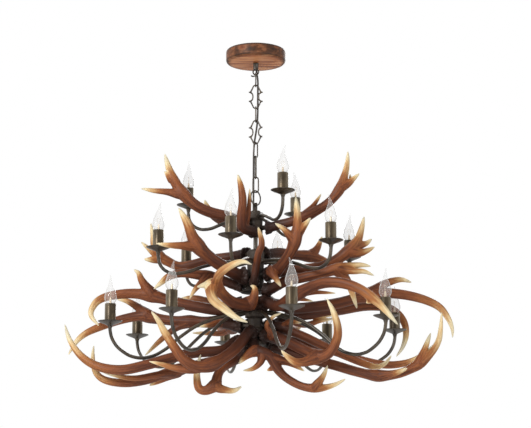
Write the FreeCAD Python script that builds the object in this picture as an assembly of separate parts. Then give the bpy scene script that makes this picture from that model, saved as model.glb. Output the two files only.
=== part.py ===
import FreeCAD, Part
import math
import os
from FreeCAD import Vector

# Antler chandelier: three tiers of candle arms among cast antlers, hung from a chain under a round canopy.
# Millimetres. The origin is the centre of the canopy's upper face, on the ceiling. +Z is up.

# ---- driving dimensions -------------------------------------------------------------------------

seat_gap = 0.3                  # between round pieces that bear on each other
round_sides = 12                # panels of small round pieces and their holes

# ceiling canopy, turned, hollow above
canopy_radius = 87.0
canopy_height = 37.0
canopy_wall = 9.0
canopy_edge = 4.0               # worn chamfer of both rims

# crossbar in the canopy, and the threaded nipple that holds canopy and loop to it
bar_length = 112.0
bar_width = 16.0
bar_thickness = 3.0
box_screw_spacing = 88.9        # ceiling box, screw to screw
box_screw_hole = 2.4            # radius
nipple_radius = 5.0
nipple_bore = 3.2
nut_radius = 9.0
nut_thickness = 5.0

# loop under the canopy
stem_radius = 7.5
stem_length = 20.0
eye_radius = 8.0                # centre line of the ring
eye_wire = 2.2
eye_sink = 3.0                  # how far the ring is let into the stem

# chain: wire radii, and centre line sizes
link_wire = 2.0
link_width = 16.0
hook_length = 41.0
short_link = 45.3
long_link = 66.5
ornament_wire = 2.1
ornament_height = 70.0
ornament_width = 30.0           # corner to corner
ornament_waist = 17.0
ornament_corner = 13.5          # height of the corners above the waist
spur_length = 6.0
ring_wire = 2.3
ring_radius = 21.2
ring_seat = 0.7                 # gap where the ring hangs, since it swings widest
hook_turn = 90.0                # planes of the links about Z, 0 is the XZ plane
upper_ornament_turn = 0.0
first_link_turn = 90.0
lower_ornament_turn = -10.0
second_link_turn = 49.0
third_link_turn = 100.0
fourth_link_turn = 5.0
ring_turn = 50.0

# power cable threaded down the chain
cable_radius = 2.7
cable_side = 5.9                # from the chain's axis, in X and in Y, behind the links
cable_exit = 12.5               # its hole in the canopy, behind the stem
cable_bend = 24.0               # least centre line radius

# neck of the fixture: a flat lug on a flange
lug_width = 10.0
lug_thickness = 5.0
lug_hole = 3.7                  # radius
lug_cheek = 4.0                 # metal over the cross hole
flange_radius = 14.0
flange_thickness = 5.0

# central pipe, hubs, bottom disc
pipe_radius = 6.5
pipe_bore = 4.2
hub_sides = 8
upper_hub_top = -485.0
upper_hub_bottom = -556.0
chamber_radius = 12.4           # wire chamber in the upper hub
chamber_depth = 24.0
middle_hub_top = -593.0
middle_hub_bottom = -718.0
middle_plate_radius = 44.0
lower_hub_top = -740.0
lower_hub_bottom = -858.0
disc_radius = 46.0
disc_thickness = 14.0
bottom_nut_radius = 11.0
bottom_nut_height = 9.0
socket_radius = 6.5             # iron sockets for the arms
socket_reach = 34.0             # their faces, from the axis
stud_radius = 5.5               # iron studs for the antlers
stud_depth = 14.0               # where they start, from the axis

# arms and candles
arm_radius = 4.8
arm_sides = 5
candle_sides = 8                # panels of pans and sleeves
pan_radius = 34.3
pan_rim = 2.0                   # upright edge
pan_slope = 12.0                # rim's lower edge above the foot
pan_well = 5.0                  # floor below the rim
pan_foot = 7.0
pan_floor = 18.0                # radius of the flat floor
sleeve_radius = 15.5
sleeve_wall = 1.6
rim_drop = 48.0                 # pan rim below the sleeve's top
holder_radius = 12.0
holder_drop = 10.0              # lampholder's top below the sleeve's top
cap_depth = 24.0                # bulb cap in the lampholder
cap_height = 28.0
cap_radius = 6.8
glass_radius = 17.5
glass_height = 86.0
tip_lean = 4.0

# antlers
burr_flare = 1.35               # root ring against the beam
burr_length = 9.0
beam_sides = 6
tine_sides = 4
tip_radius = 1.2
section_length = 70.0           # one section at least each so far along a beam
section_turn = 0.6              # and for each such turn, in radians


# ---- shapes -------------------------------------------------------------------------------------

def save(name, shape):
    """Write one node, and say how many solids it has."""
    shape.exportStep("parts/" + name + ".step")
    print(name, len(shape.Solids), "solid(s),", len(shape.Faces), "faces")


def circle(centre, normal, radius, sides, start):
    """A ring of points round a centre, square to normal, whose first point lies towards start."""
    first = (start - normal * start.dot(normal)).normalize()
    second = normal.cross(first)
    points = []
    for k in range(sides):
        angle = 2 * math.pi * k / sides
        points.append(centre + first * (radius * math.cos(angle)) + second * (radius * math.sin(angle)))
    return points


def facet(points):
    return Part.Face(Part.makePolygon(points + [points[0]]))


def skin(rings, closed=False, flat=False):
    """A solid over rings of points. closed joins the last ring to the first; flat is for planar panels."""
    faces = []
    pairs = list(zip(rings, rings[1:]))
    if closed:
        pairs.append((rings[-1], rings[0]))
    for low, high in pairs:
        count = max(len(low), len(high))
        for k in range(count):
            a = low[k % len(low)]
            b = low[(k + 1) % len(low)]
            c = high[(k + 1) % len(high)]
            d = high[k % len(high)]
            if len(high) == 1:
                faces.append(facet([a, b, d]))
            elif len(low) == 1:
                faces.append(facet([a, c, d]))
            elif flat:
                faces.append(facet([a, b, c, d]))
            else:
                faces.append(facet([a, b, c]))
                faces.append(facet([a, c, d]))
    if not closed:
        for end in (rings[0], rings[-1]):
            if len(end) > 1:
                faces.append(facet(end))
    solid = Part.makeSolid(Part.makeShell(faces))
    if solid.Volume < 0:
        solid.reverse()
    return solid


def turned(outline, sides, centre=Vector(0, 0, 0), closed=False):
    """A turned piece with flat panels, from (radius, height) points."""
    rings = []
    for radius, height in outline:
        at = centre + Vector(0, 0, height)
        if radius > 0:
            rings.append(circle(at, Vector(0, 0, 1), radius, sides, Vector(1, 0, 0)))
        else:
            rings.append([at])
    return skin(rings, closed, True)


def rod(radius, bottom, top, centre=Vector(0, 0, 0)):
    return Part.makeCylinder(radius, top - bottom, centre + Vector(0, 0, bottom))


def prism(radius, bottom, top, centre=Vector(0, 0, 0), sides=round_sides):
    """A plain round piece or hole as a many-sided prism, which keeps the mesh light."""
    return turned([(radius, bottom), (radius, top)], sides, centre)


def curve_through(points, steps=10):
    """Points on a smooth curve that passes through the given ones."""
    ends = [points[0] * 2 - points[1]] + points + [points[-1] * 2 - points[-2]]
    curve = []
    for i in range(len(points) - 1):
        p0, p1, p2, p3 = ends[i:i + 4]
        for k in range(steps):
            t = k / steps
            curve.append((p1 * 2 + (p2 - p0) * t + (p0 * 2 - p1 * 5 + p2 * 4 - p3) * t * t
                          + (p1 * 3 - p0 - p2 * 3 + p3) * t ** 3) * 0.5)
    curve.append(points[-1])
    return curve


def thinned(curve, length, turn):
    """Fewer points of a curve, close together where it bends."""
    effort = [0.0]
    for i in range(1, len(curve)):
        step = curve[i] - curve[i - 1]
        bend = 0.0
        if i > 1:
            bend = step.getAngle(curve[i - 1] - curve[i - 2])
        effort.append(effort[-1] + step.Length / length + bend / turn)
    count = max(2, round(effort[-1]))
    kept = []
    for k in range(count + 1):
        goal = effort[-1] * k / count
        i = next(n for n, e in enumerate(effort) if e >= goal - 1e-9)
        kept.append(curve[i])
    return kept


def travelled(line):
    """How far along the line each of its points is."""
    run = [0.0]
    for a, b in zip(line, line[1:]):
        run.append(run[-1] + (b - a).Length)
    return run


def headings(line, closed=False):
    """The direction of a line of points at each point."""
    count = len(line)
    result = []
    for i in range(count):
        if closed:
            result.append((line[(i + 1) % count] - line[i - 1]).normalize())
        else:
            result.append((line[min(i + 1, count - 1)] - line[max(i - 1, 0)]).normalize())
    return result


def rings_along(line, radii, sides, closed=False):
    """Rings of points along a line, carried on without twist."""
    normals = headings(line, closed)
    start = Vector(0, 0, 1)
    if abs(normals[0].dot(start)) > 0.9:
        start = Vector(1, 0, 0)
    rings = []
    for centre, normal, radius in zip(line, normals, radii):
        if radius == 0:
            rings.append([centre])
        else:
            rings.append(circle(centre, normal, radius, sides, start))
            start = rings[-1][0] - centre
    return rings


# ---- ceiling parts ------------------------------------------------------------------------------

def canopy():
    """Wood canopy: a turned disc, open above, with holes for the nipple and for the cable."""
    inside = canopy_radius - canopy_wall
    floor = canopy_wall - canopy_height
    hole = nipple_radius + seat_gap
    outline = [(hole, floor), (hole, -canopy_height),
               (canopy_radius - canopy_edge, -canopy_height), (canopy_radius, canopy_edge - canopy_height),
               (canopy_radius, -canopy_edge), (canopy_radius - canopy_edge, 0), (inside, 0), (inside, floor)]
    disc = turned(outline, 24, closed=True)
    return disc.cut(prism(cable_radius + seat_gap, -canopy_height, floor, Vector(0, cable_exit, 0))).Solids[0]


def ceiling_bracket():
    bar = Part.makeBox(bar_length, bar_width, bar_thickness, Vector(-bar_length / 2, -bar_width / 2, -bar_thickness))
    bar = bar.cut(prism(nipple_radius + seat_gap, -bar_thickness, 0))
    for side in (-1, 1):
        at = Vector(side * box_screw_spacing / 2, 0, 0)
        bar = bar.cut(rod(box_screw_hole, -bar_thickness, 0, at))
    return bar


nipple_bottom = -canopy_height - stem_length / 2


def nipple():
    return turned([(nipple_radius, nipple_bottom), (nipple_radius, -seat_gap), (nipple_bore, -seat_gap),
                   (nipple_bore, nipple_bottom)], round_sides, closed=True)


def hexagon_nut(radius, bottom, top, hole):
    return prism(radius, bottom, top, sides=6).cut(prism(hole, bottom, top)).Solids[0]


def nipple_nuts():
    """Two hexagon nuts: under the crossbar, and on the canopy's floor."""
    nuts = []
    for top in (-bar_thickness, canopy_wall - canopy_height + nut_thickness):
        nuts.append(hexagon_nut(nut_radius, top - nut_thickness, top, nipple_radius + seat_gap))
    return Part.makeCompound(nuts)


stem_bottom = -canopy_height - stem_length
eye_centre = stem_bottom - eye_radius - eye_wire + eye_sink


def canopy_loop():
    """Stem screwed up against the canopy, with a ring for the chain."""
    stem = prism(stem_radius, stem_bottom, -canopy_height)
    loop = stem.fuse(round_link(Vector(0, 0, eye_centre), eye_radius, eye_wire, 0, 14))
    return loop.cut(prism(nipple_radius + seat_gap, nipple_bottom - seat_gap, -canopy_height)).Solids[0]


# ---- chain --------------------------------------------------------------------------------------

def half_loop(half_width, height, steps):
    """Right half of an oval loop's centre line, from the bottom round the side to the top."""
    straight = height / 2 - half_width
    points = []
    for k in range(steps + 1):
        angle = math.pi / 2 * (k / steps - 1)
        points.append((half_width * math.cos(angle), half_width * math.sin(angle) - straight))
    return points + [(x, -z) for x, z in reversed(points)]


def in_plane(points, centre, turn):
    """(across, up) points in an upright plane, turned about Z from the XZ plane."""
    across = Vector(math.cos(math.radians(turn)), math.sin(math.radians(turn)), 0)
    return [centre + across * x + Vector(0, 0, z) for x, z in points]


def wire_loop(points, wire, sides=5):
    """A closed wire over a closed line of points."""
    return skin(rings_along(points, [wire] * len(points), sides, True), True)


def round_link(centre, radius, wire, turn, count=18):
    outline = []
    for k in range(count):
        angle = 2 * math.pi * k / count
        outline.append((radius * math.cos(angle), radius * math.sin(angle)))
    return wire_loop(in_plane(outline, centre, turn), wire)


def plain_link(centre, length, turn):
    right = half_loop(link_width / 2, length, 3)
    outline = right + [(-x, z) for x, z in reversed(right[1:-1])]
    return wire_loop(in_plane(outline, centre, turn), link_wire)


def ornamental_link(centre, turn):
    """Pointed link: sloping shoulders, four corners with spurs, and a waist that curves in."""
    top = ornament_height / 2
    corner = ornament_width / 2
    waist = ornament_waist / 2
    bow = waist + 0.2 * (corner - waist)
    quarter = [(waist, 0), (bow, ornament_corner * 0.6), (corner, ornament_corner), (5, top - 2.0)]
    right = [(x, -z) for x, z in reversed(quarter[1:])] + quarter
    outline = right + [(0, top)] + [(-x, z) for x, z in reversed(right)] + [(0, -top)]
    link = wire_loop(in_plane(outline, centre, turn), ornament_wire)
    spurs = []
    for side in (-1, 1):
        for level in (-1, 1):
            base = (side * (corner - 1), level * (ornament_corner - 0.5))
            point = (side * (corner + spur_length), level * (ornament_corner + 0.5))
            line = in_plane([base, point], centre, turn)
            spurs.append(skin(rings_along(line, [ornament_wire * 0.9, 0], 5)))
    return link.fuse(spurs).Solids[0]


def hook_link(centre, turn):
    """Open hook: a long loop whose free upper end is bent out to the left."""
    half = link_width / 2
    straight = hook_length / 2 - half
    path = [centre + Vector(-14.0, half + 2.0, straight + 3.0), centre + Vector(-6.0, half + 1.5, straight + 1.0)]
    bow = []
    for k in range(1, 7):
        angle = math.radians(30 * k)
        bow.append((half * math.cos(angle), straight + half * math.sin(angle)))
    for k in range(7):
        angle = math.radians(180 + 30 * k)
        bow.append((half * math.cos(angle), half * math.sin(angle) - straight))
    bow.append((half, straight - 6.0))
    path += in_plane(bow, centre, turn)
    return skin(rings_along(path, [link_wire] * len(path), 5))


def chain():
    """Lay the links out down the axis. Each one hangs on the wire above it with a seat gap."""
    order = [("hook_link", hook_length, link_wire, hook_turn),
             ("upper_ornamental_link", ornament_height, ornament_wire, upper_ornament_turn),
             ("chain_link_1", short_link, link_wire, first_link_turn),
             ("lower_ornamental_link", ornament_height, ornament_wire, lower_ornament_turn),
             ("chain_link_2", short_link, link_wire, second_link_turn),
             ("chain_link_3", long_link, link_wire, third_link_turn),
             ("chain_link_4", short_link, link_wire, fourth_link_turn),
             ("hanging_ring", 2 * ring_radius, ring_wire, ring_turn)]
    hang = eye_centre - eye_radius
    above = eye_wire
    links = []
    for name, length, wire, turn in order:
        top = hang + above + wire + (ring_seat if name == "hanging_ring" else seat_gap)
        links.append((name, Vector(0, 0, top - length / 2), length, turn, hang))
        hang = top - length
        above = wire
    return links, hang


def save_chain():
    links, lowest = chain()
    for name, centre, length, turn, pivot in links:
        if name == "hook_link":
            shape = hook_link(centre, turn)
        elif name == "hanging_ring":
            shape = round_link(centre, length / 2, ring_wire, turn)
        elif "ornamental" in name:
            shape = ornamental_link(centre, turn)
        else:
            shape = plain_link(centre, length, turn)
        save(name, shape)
        print("    pivot z", round(pivot, 2), "plane", turn)
    print("    neck pivot z", round(lowest, 2))


def power_cable():
    """From the ceiling down behind the links to the wire chamber, in straight runs with round bends."""
    side = cable_side
    left = -side - 0.4
    inside = upper_hub_top - chamber_depth * 0.7
    points = [Vector(0, cable_exit, -4), Vector(0, cable_exit, -50), Vector(side + 0.6, 9.5, -85),
              Vector(side, side + 0.3, -120), Vector(side, side, -205), Vector(1.0, side + 0.5, -245),
              Vector(-side, side + 0.4, -285), Vector(left, side, -380), Vector(left, side, inside)]
    route = [points[0]]
    for before, corner, after in zip(points, points[1:], points[2:]):
        come = (corner - before).normalize()
        go = (after - corner).normalize()
        half = come.getAngle(go) / 2
        shorter = min((corner - before).Length, (after - corner).Length)
        radius = min(0.45 * shorter / math.tan(half), 400.0)
        if radius < cable_bend:
            print("    tight bend", round(radius, 1))
        reach = radius * math.tan(half)
        middle = corner + (go - come).normalize() * (radius / math.cos(half))
        first = corner - come * reach - middle
        last = corner + go * reach - middle
        for k in range(4):
            spoke = first * math.sin((1 - k / 3) * 2 * half) + last * math.sin(k / 3 * 2 * half)
            route.append(middle + spoke * (1 / math.sin(2 * half)))
        print("    bend radius", round(radius, 1))
    route.append(points[-1])
    print("    cable length", round(travelled(route)[-1], 1))
    return skin(rings_along(route, [cable_radius] * len(route), 6))


# ---- body of the fixture ------------------------------------------------------------------------

def neck():
    """Flat lug that hangs on the ring, on a flange that bears on the upper hub."""
    links, hang = chain()
    top = hang + ring_wire + seat_gap + lug_cheek
    flange_top = upper_hub_top + flange_thickness
    lug = Part.makeBox(lug_thickness, lug_width, top - flange_top, Vector(-lug_thickness / 2, -lug_width / 2, flange_top))
    hole_centre = hang + ring_wire + seat_gap - lug_hole * math.cos(math.pi / 8)
    hole = prism(lug_hole, -lug_thickness / 2, lug_thickness / 2, sides=8)
    hole.rotate(Vector(0, 0, 0), Vector(0, 0, 1), 22.5)
    hole.rotate(Vector(0, 0, 0), Vector(0, 1, 0), 90)
    hole.translate(Vector(0, 0, hole_centre))
    lug = lug.cut(hole)
    lug.rotate(Vector(0, 0, 0), Vector(0, 0, 1), ring_turn)
    flange = turned([(flange_radius, upper_hub_top), (flange_radius, flange_top)], hub_sides)
    cable_hole = prism(cable_radius + 2 * seat_gap, upper_hub_top, flange_top, Vector(-cable_side - 0.4, cable_side, 0))
    return lug.fuse(flange).cut(cable_hole).Solids[0]


pipe_top = upper_hub_top - chamber_depth
pipe_bottom = lower_hub_bottom - disc_thickness - bottom_nut_height
bore = pipe_radius + seat_gap


def center_pipe():
    return turned([(pipe_radius, pipe_bottom), (pipe_radius, pipe_top), (pipe_bore, pipe_top),
                   (pipe_bore, pipe_bottom)], hub_sides, closed=True)


def stud(root, heading, radius, low, high, depth=stud_depth):
    """Iron stud from a hub out to a root, whose end face is square to what it holds."""
    out = Vector(root.x, root.y, 0).normalize()
    inner = out * depth + Vector(0, 0, min(max(root.z, low), high))
    along = (root - inner).normalize()
    first = circle(inner, along, radius, 5, Vector(0, 0, 1))
    last = circle(root, heading, radius, 5, first[0] - inner)
    return skin([first, last])


def antler_studs(tier, low, high, lowest_root, highest_root, depth=stud_depth):
    """Studs for the tier's antlers whose roots lie between two heights."""
    studs = []
    for where, radius, beam, tines in antlers.values():
        if where is tier and lowest_root <= beam[0].z <= highest_root:
            heading = (beam[1] - beam[0]).normalize()
            studs.append(stud(beam[0], heading, stud_radius, low, high, depth))
    return studs


def hub(tier_name, outline, low, high):
    """A turned hub with its arm sockets and antler studs."""
    tier = tiers[tier_name]
    body = turned(outline, hub_sides, closed=True)
    parts = []
    for angle in tier.directions():
        line = tier.arm_line(angle)
        parts.append(stud(line[0], (line[1] - line[0]).normalize(), socket_radius, low, high, 15.0))
    parts += antler_studs(tier, low, high, lower_hub_bottom, 0)
    return body.fuse(parts).Solids[0]


def upper_hub():
    top = upper_hub_top
    bottom = upper_hub_bottom
    floor = top - chamber_depth
    return hub("upper", [(bore, bottom), (16, bottom), (20, bottom + 5), (20, floor - 2), (25, floor + 3),
                         (25, top - 4), (15, top), (chamber_radius, top), (chamber_radius, floor),
                         (bore, floor)], bottom + 8, top - 9)


def middle_hub():
    top = middle_hub_top
    bottom = middle_hub_bottom
    plate = middle_plate_radius
    return hub("middle", [(bore, bottom), (plate - 3, bottom), (plate, bottom + 3), (plate - 8, bottom + 6),
                          (24, bottom + 18), (24, top - 10), (16, top), (bore, top)], bottom + 10, top - 12)


def lower_hub():
    top = lower_hub_top
    bottom = lower_hub_bottom
    return hub("lower", [(bore, bottom), (30, bottom), (30, bottom + 34), (20, bottom + 40), (20, bottom + 66),
                         (30, bottom + 70), (30, top - 6), (20, top), (bore, top)], bottom + 9, top - 8)


def bottom_disc():
    """Cast disc that closes the stack, with the studs of the lowest antlers."""
    top = lower_hub_bottom
    bottom = top - disc_thickness
    middle_height = (top + bottom) / 2
    disc = turned([(bore, bottom), (disc_radius - 10, bottom), (disc_radius, bottom + 4), (disc_radius, top - 3),
                   (disc_radius - 4, top), (bore, top)], 12, closed=True)
    low_studs = antler_studs(lower, middle_height, middle_height, -2000, lower_hub_bottom, disc_radius - 20)
    return disc.fuse(low_studs).Solids[0]


def bottom_nut():
    top = lower_hub_bottom - disc_thickness
    return hexagon_nut(bottom_nut_radius, top - bottom_nut_height, top, bore)


# ---- candle arms --------------------------------------------------------------------------------

class Tier:
    """One level of the fixture: the candle arms that leave its hub."""

    def __init__(self, lights, ring, first_angle, sleeve_top, exit_height, bends):
        self.lights = lights                # candles on the tier
        self.ring = ring                    # radius of the candle circle
        self.first_angle = first_angle      # degrees, from -Y towards +X
        self.sleeve_top = sleeve_top
        self.rim = sleeve_top - rim_drop
        self.floor = self.rim - pan_well
        self.foot = self.rim - pan_rim - pan_slope
        self.exit_height = exit_height      # where the arms leave the hub
        self.bends = bends                  # (radius, height) points of the arm between its ends

    def directions(self):
        for i in range(self.lights):
            yield self.first_angle + 360.0 * i / self.lights

    def out(self, angle):
        return Vector(math.sin(math.radians(angle)), -math.cos(math.radians(angle)), 0)

    def arm_line(self, angle):
        """Centre line of one arm, from the face of its socket to the foot of its pan."""
        profile = [(socket_reach, self.exit_height)] + self.bends
        profile += [(self.ring, self.foot - 9.0), (self.ring, self.foot)]
        return [self.out(angle) * r + Vector(0, 0, z) for r, z in profile]

    def candles(self):
        for angle in self.directions():
            yield self.out(angle) * self.ring


upper = Tier(3, 196.0, 23.0, -408.0, -498.0,
             [(60, -503), (100, -517), (141, -530), (172, -525), (190, -507)])
middle = Tier(6, 285.0, -13.2, -551.0, -628.0,
              [(90, -633), (150, -648), (215, -670), (250, -671), (276, -654)])
lower = Tier(8, 414.0, 13.4, -762.0, -774.0,
             [(85, -785), (160, -812), (217, -850), (262, -888), (300, -907), (340, -910), (376, -895), (404, -866)])
tiers = {"upper": upper, "middle": middle, "lower": lower}


def arms(tier):
    """All arms of a tier: bent round tube."""
    shapes = []
    for angle in tier.directions():
        line = tier.arm_line(angle)
        smooth = curve_through(line[:-1])
        kept = thinned(smooth, 120.0, 0.55)
        kept = kept + [line[-1]]
        rings = rings_along(kept, [arm_radius] * len(kept), arm_sides)
        rings[0] = circle(line[0], (line[1] - line[0]).normalize(), arm_radius, arm_sides, rings[0][0] - line[0])
        shapes.append(skin(rings))
    return Part.makeCompound(shapes)


def at_candles(make):
    """One piece for every candle, made from its tier and its foot point."""
    shapes = []
    for tier in tiers.values():
        for centre in tier.candles():
            shapes.append(make(tier, centre))
    return Part.makeCompound(shapes)


def drip_pan(tier, centre):
    outline = [(pan_foot, tier.foot), (pan_radius, tier.rim - pan_rim), (pan_radius, tier.rim),
               (pan_floor, tier.floor)]
    return turned(outline, candle_sides, centre)


def candle_sleeve(tier, centre):
    inside = sleeve_radius - sleeve_wall
    return turned([(sleeve_radius, tier.floor), (sleeve_radius, tier.sleeve_top), (inside, tier.sleeve_top),
                   (inside, tier.floor)], candle_sides, centre, closed=True)


def lampholder(tier, centre):
    top = tier.sleeve_top - holder_drop
    hole = cap_radius + seat_gap
    return turned([(holder_radius, tier.floor), (holder_radius, top), (hole, top), (hole, top - cap_depth)], 5, centre)


def bulb_cap(tier, centre):
    bottom = tier.sleeve_top - holder_drop - cap_depth
    return turned([(cap_radius, bottom), (cap_radius, bottom + cap_height)], 5, centre)


def bulb_glass(tier, centre):
    bottom = tier.sleeve_top - holder_drop - cap_depth + cap_height
    top = bottom + glass_height
    lean = Vector(tip_lean, 0, 0)
    rings = []
    for share, radius, leaning in ((0, 0.42, 0), (0.3, 1.0, 0), (0.55, 0.86, 0), (0.8, 0.4, 0.3), (1, 0, 1)):
        at = centre + lean * leaning + Vector(0, 0, bottom + (top - bottom) * share)
        if radius > 0:
            rings.append(circle(at, Vector(0, 0, 1), glass_radius * radius, 6, Vector(1, 0, 0)))
        else:
            rings.append([at])
    return skin(rings)


# ---- antlers ------------------------------------------------------------------------------------

antlers = {}


def antler(name, tier, radius, beam, *tines):
    """Note one antler down: beam and tines as points on their centre lines, root first."""
    limbs = []
    for tine_radius, points in tines:
        limbs.append((tine_radius, [Vector(*p) for p in points]))
    antlers[name] = (tier, radius, [Vector(*p) for p in beam], limbs)


antler("upper_left_antler", upper, 15, [(-44, -20, -516), (-78, -36, -504), (-130, -46, -492),
            (-172, -52, -472), (-210, -56, -436), (-234, -58, -398), (-248, -58, -364), (-260, -58, -324)],
       (8, [(-214, -56, -442), (-254, -62, -436), (-288, -66, -434), (-326, -68, -428)]),
       (4, [(-240, -58, -406), (-252, -64, -388), (-260, -66, -376)]))
antler("upper_back_left_antler", upper, 14, [(-32, 36, -522), (-78, 64, -506), (-124, 100, -472),
            (-144, 124, -442), (-152, 136, -418)])
antler("upper_right_antler", upper, 13, [(44, -14, -530), (68, -22, -524), (106, -32, -516),
            (158, -44, -496), (206, -56, -468), (238, -60, -430), (254, -62, -388), (262, -64, -350),
            (264, -64, -318)],
       (8, [(240, -60, -424), (264, -64, -412), (278, -66, -400), (296, -68, -384)]),
       (4, [(258, -60, -414), (270, -52, -400), (270, -50, -382)]),
       (6, [(140, -42, -500), (166, -36, -470), (188, -34, -436)]))
antler("upper_front_antler", upper, 12, [(-10, -42, -546), (-36, -62, -538), (-40, -80, -510),
            (-36, -90, -472), (-40, -92, -432), (-50, -92, -392)],
       (6, [(-32, -56, -534), (-20, -72, -496), (-16, -80, -430)]))
antler("middle_front_left_antler", middle, 17, [(-46, -30, -672), (-82, -64, -658), (-124, -96, -634),
            (-156, -118, -608), (-174, -130, -580), (-188, -136, -544), (-202, -136, -518),
            (-214, -138, -498)],
       (9, [(-166, -122, -604), (-204, -140, -606), (-238, -148, -606), (-274, -152, -602)]))
antler("middle_front_right_antler", middle, 14, [(44, -36, -668), (66, -96, -662), (90, -132, -636),
            (108, -156, -602), (116, -164, -560), (116, -170, -516), (112, -172, -472)],
       (9, [(110, -158, -582), (132, -164, -558), (154, -168, -532)]),
       (8, [(108, -156, -594), (88, -172, -574), (72, -182, -562), (54, -190, -552)]),
       (9, [(46, -76, -666), (50, -104, -680), (72, -118, -718)]))
antler("middle_front_spike_antler", middle, 10, [(-4, -44, -690), (2, -58, -650), (8, -74, -618),
            (18, -80, -588), (8, -82, -542)])
antler("middle_right_antler", middle, 15, [(54, 6, -658), (92, -12, -656), (142, -42, -656),
            (190, -54, -650), (232, -60, -630), (266, -64, -604), (288, -64, -578), (300, -64, -544),
            (308, -66, -508)],
       (8, [(278, -64, -596), (302, -56, -588), (316, -52, -582), (330, -50, -570)]),
       (9, [(264, -62, -610), (294, -72, -614), (316, -76, -608), (336, -78, -598)]))
antler("middle_low_right_antler", middle, 14, [(42, -32, -712), (86, -68, -694), (136, -98, -688),
            (186, -118, -680), (230, -130, -668), (268, -136, -662), (296, -138, -660), (320, -140, -664)],
       (8, [(230, -130, -668), (268, -146, -678), (300, -150, -680), (328, -152, -692)]),
       (9, [(226, -128, -672), (254, -118, -698), (270, -112, -738), (282, -110, -778)]))
antler("middle_back_right_antler", middle, 14, [(34, 36, -598), (68, 66, -590), (106, 84, -592),
            (148, 108, -592), (186, 124, -598), (222, 134, -610), (252, 140, -604)],
       (9, [(156, 112, -594), (180, 122, -568), (196, 126, -530)]))
antler("middle_back_left_antler", middle, 14, [(-36, 36, -600), (-78, 62, -604), (-130, 80, -608),
            (-184, 94, -620), (-224, 100, -624), (-260, 100, -608), (-294, 98, -588), (-316, 96, -570),
            (-336, 96, -552)],
       (8, [(-278, 100, -600), (-302, 90, -606), (-326, 84, -606)]),
       (8, [(-274, 100, -602), (-296, 78, -568), (-300, 68, -538), (-306, 62, -502)]))
antler("middle_left_antler", middle, 13, [(-52, 10, -696), (-96, 4, -680), (-132, -6, -672),
            (-174, -14, -666), (-214, -20, -664), (-248, -26, -676), (-268, -30, -694), (-288, -34, -712)],
       (8, [(-136, -8, -672), (-156, -44, -698), (-172, -66, -722), (-184, -76, -746)]))
antler("lower_front_antler", lower, 15, [(-6, -56, -752), (-34, -96, -764), (-66, -144, -762),
            (-92, -196, -746), (-110, -228, -726), (-132, -246, -732), (-156, -258, -740)],
       (11, [(-106, -214, -736), (-94, -280, -708), (-60, -298, -686), (-32, -302, -678),
            (-8, -302, -686)]),
       (11, [(-118, -234, -728), (-114, -262, -770), (-82, -272, -800), (-50, -276, -824),
            (-18, -278, -838)]),
       (11, [(-18, -76, -762), (-4, -98, -744), (-2, -106, -720), (-14, -108, -712)]))
antler("lower_left_high_antler", lower, 15, [(-60, -2, -750), (-96, 0, -766), (-158, 4, -758),
            (-230, 12, -742), (-290, 18, -724), (-348, 22, -716), (-402, 22, -720), (-442, 20, -732),
            (-462, 16, -752), (-468, 12, -780), (-444, 4, -812)],
       (11, [(-296, 18, -722), (-324, 10, -682), (-334, 4, -660), (-348, 0, -650)]))
antler("lower_left_back_antler", lower, 14, [(-56, 10, -812), (-96, 16, -798), (-158, 34, -796),
            (-222, 50, -792), (-276, 64, -784), (-324, 70, -774), (-368, 70, -780), (-410, 68, -792),
            (-450, 62, -808), (-486, 56, -826), (-512, 50, -850), (-534, 42, -890)],
       (10, [(-310, 68, -774), (-346, 82, -744), (-374, 90, -728), (-404, 96, -722)]),
       (8, [(-188, 42, -796), (-228, 50, -812), (-270, 46, -846), (-316, 44, -892)]),
       (7, [(-96, 16, -798), (-126, -4, -810), (-160, -14, -816)]))
antler("lower_left_front_antler", lower, 14, [(-60, -26, -860), (-92, -62, -888), (-166, -92, -898),
            (-234, -116, -916), (-290, -132, -934), (-356, -140, -950), (-410, -138, -946),
            (-452, -130, -930), (-486, -120, -902), (-512, -110, -864), (-528, -100, -820)])
antler("lower_left_bottom_antler", lower, 13, [(-50, 24, -892), (-116, -14, -912), (-182, -44, -932),
            (-246, -58, -952), (-306, -68, -972), (-360, -74, -980), (-410, -76, -974),
            (-438, -72, -956), (-450, -68, -926), (-452, -64, -898), (-450, -62, -874)],
       (8, [(-226, -54, -946), (-276, -88, -960), (-330, -104, -970), (-380, -110, -964),
            (-424, -112, -952)]),
       (11, [(-216, -50, -942), (-254, -40, -962), (-296, -34, -984)]))
antler("lower_front_left_antler", lower, 15, [(-20, -54, -838), (-44, -90, -874), (-72, -128, -906),
            (-114, -160, -936), (-154, -180, -946), (-190, -196, -930), (-216, -204, -898),
            (-242, -212, -858), (-260, -216, -826), (-280, -220, -800)],
       (9, [(-120, -162, -938), (-166, -160, -952), (-214, -156, -948), (-256, -152, -936),
            (-290, -150, -928)]))
antler("lower_hook_antler", lower, 12, [(-34, -34, -896), (-56, -42, -914), (-90, -76, -938),
            (-104, -104, -966), (-104, -112, -994), (-82, -112, -1002), (-58, -110, -1004),
            (-36, -108, -992)],
       (10, [(-104, -110, -986), (-134, -114, -1004), (-154, -114, -998), (-160, -112, -970),
            (-158, -110, -936), (-150, -106, -904)]))
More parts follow.
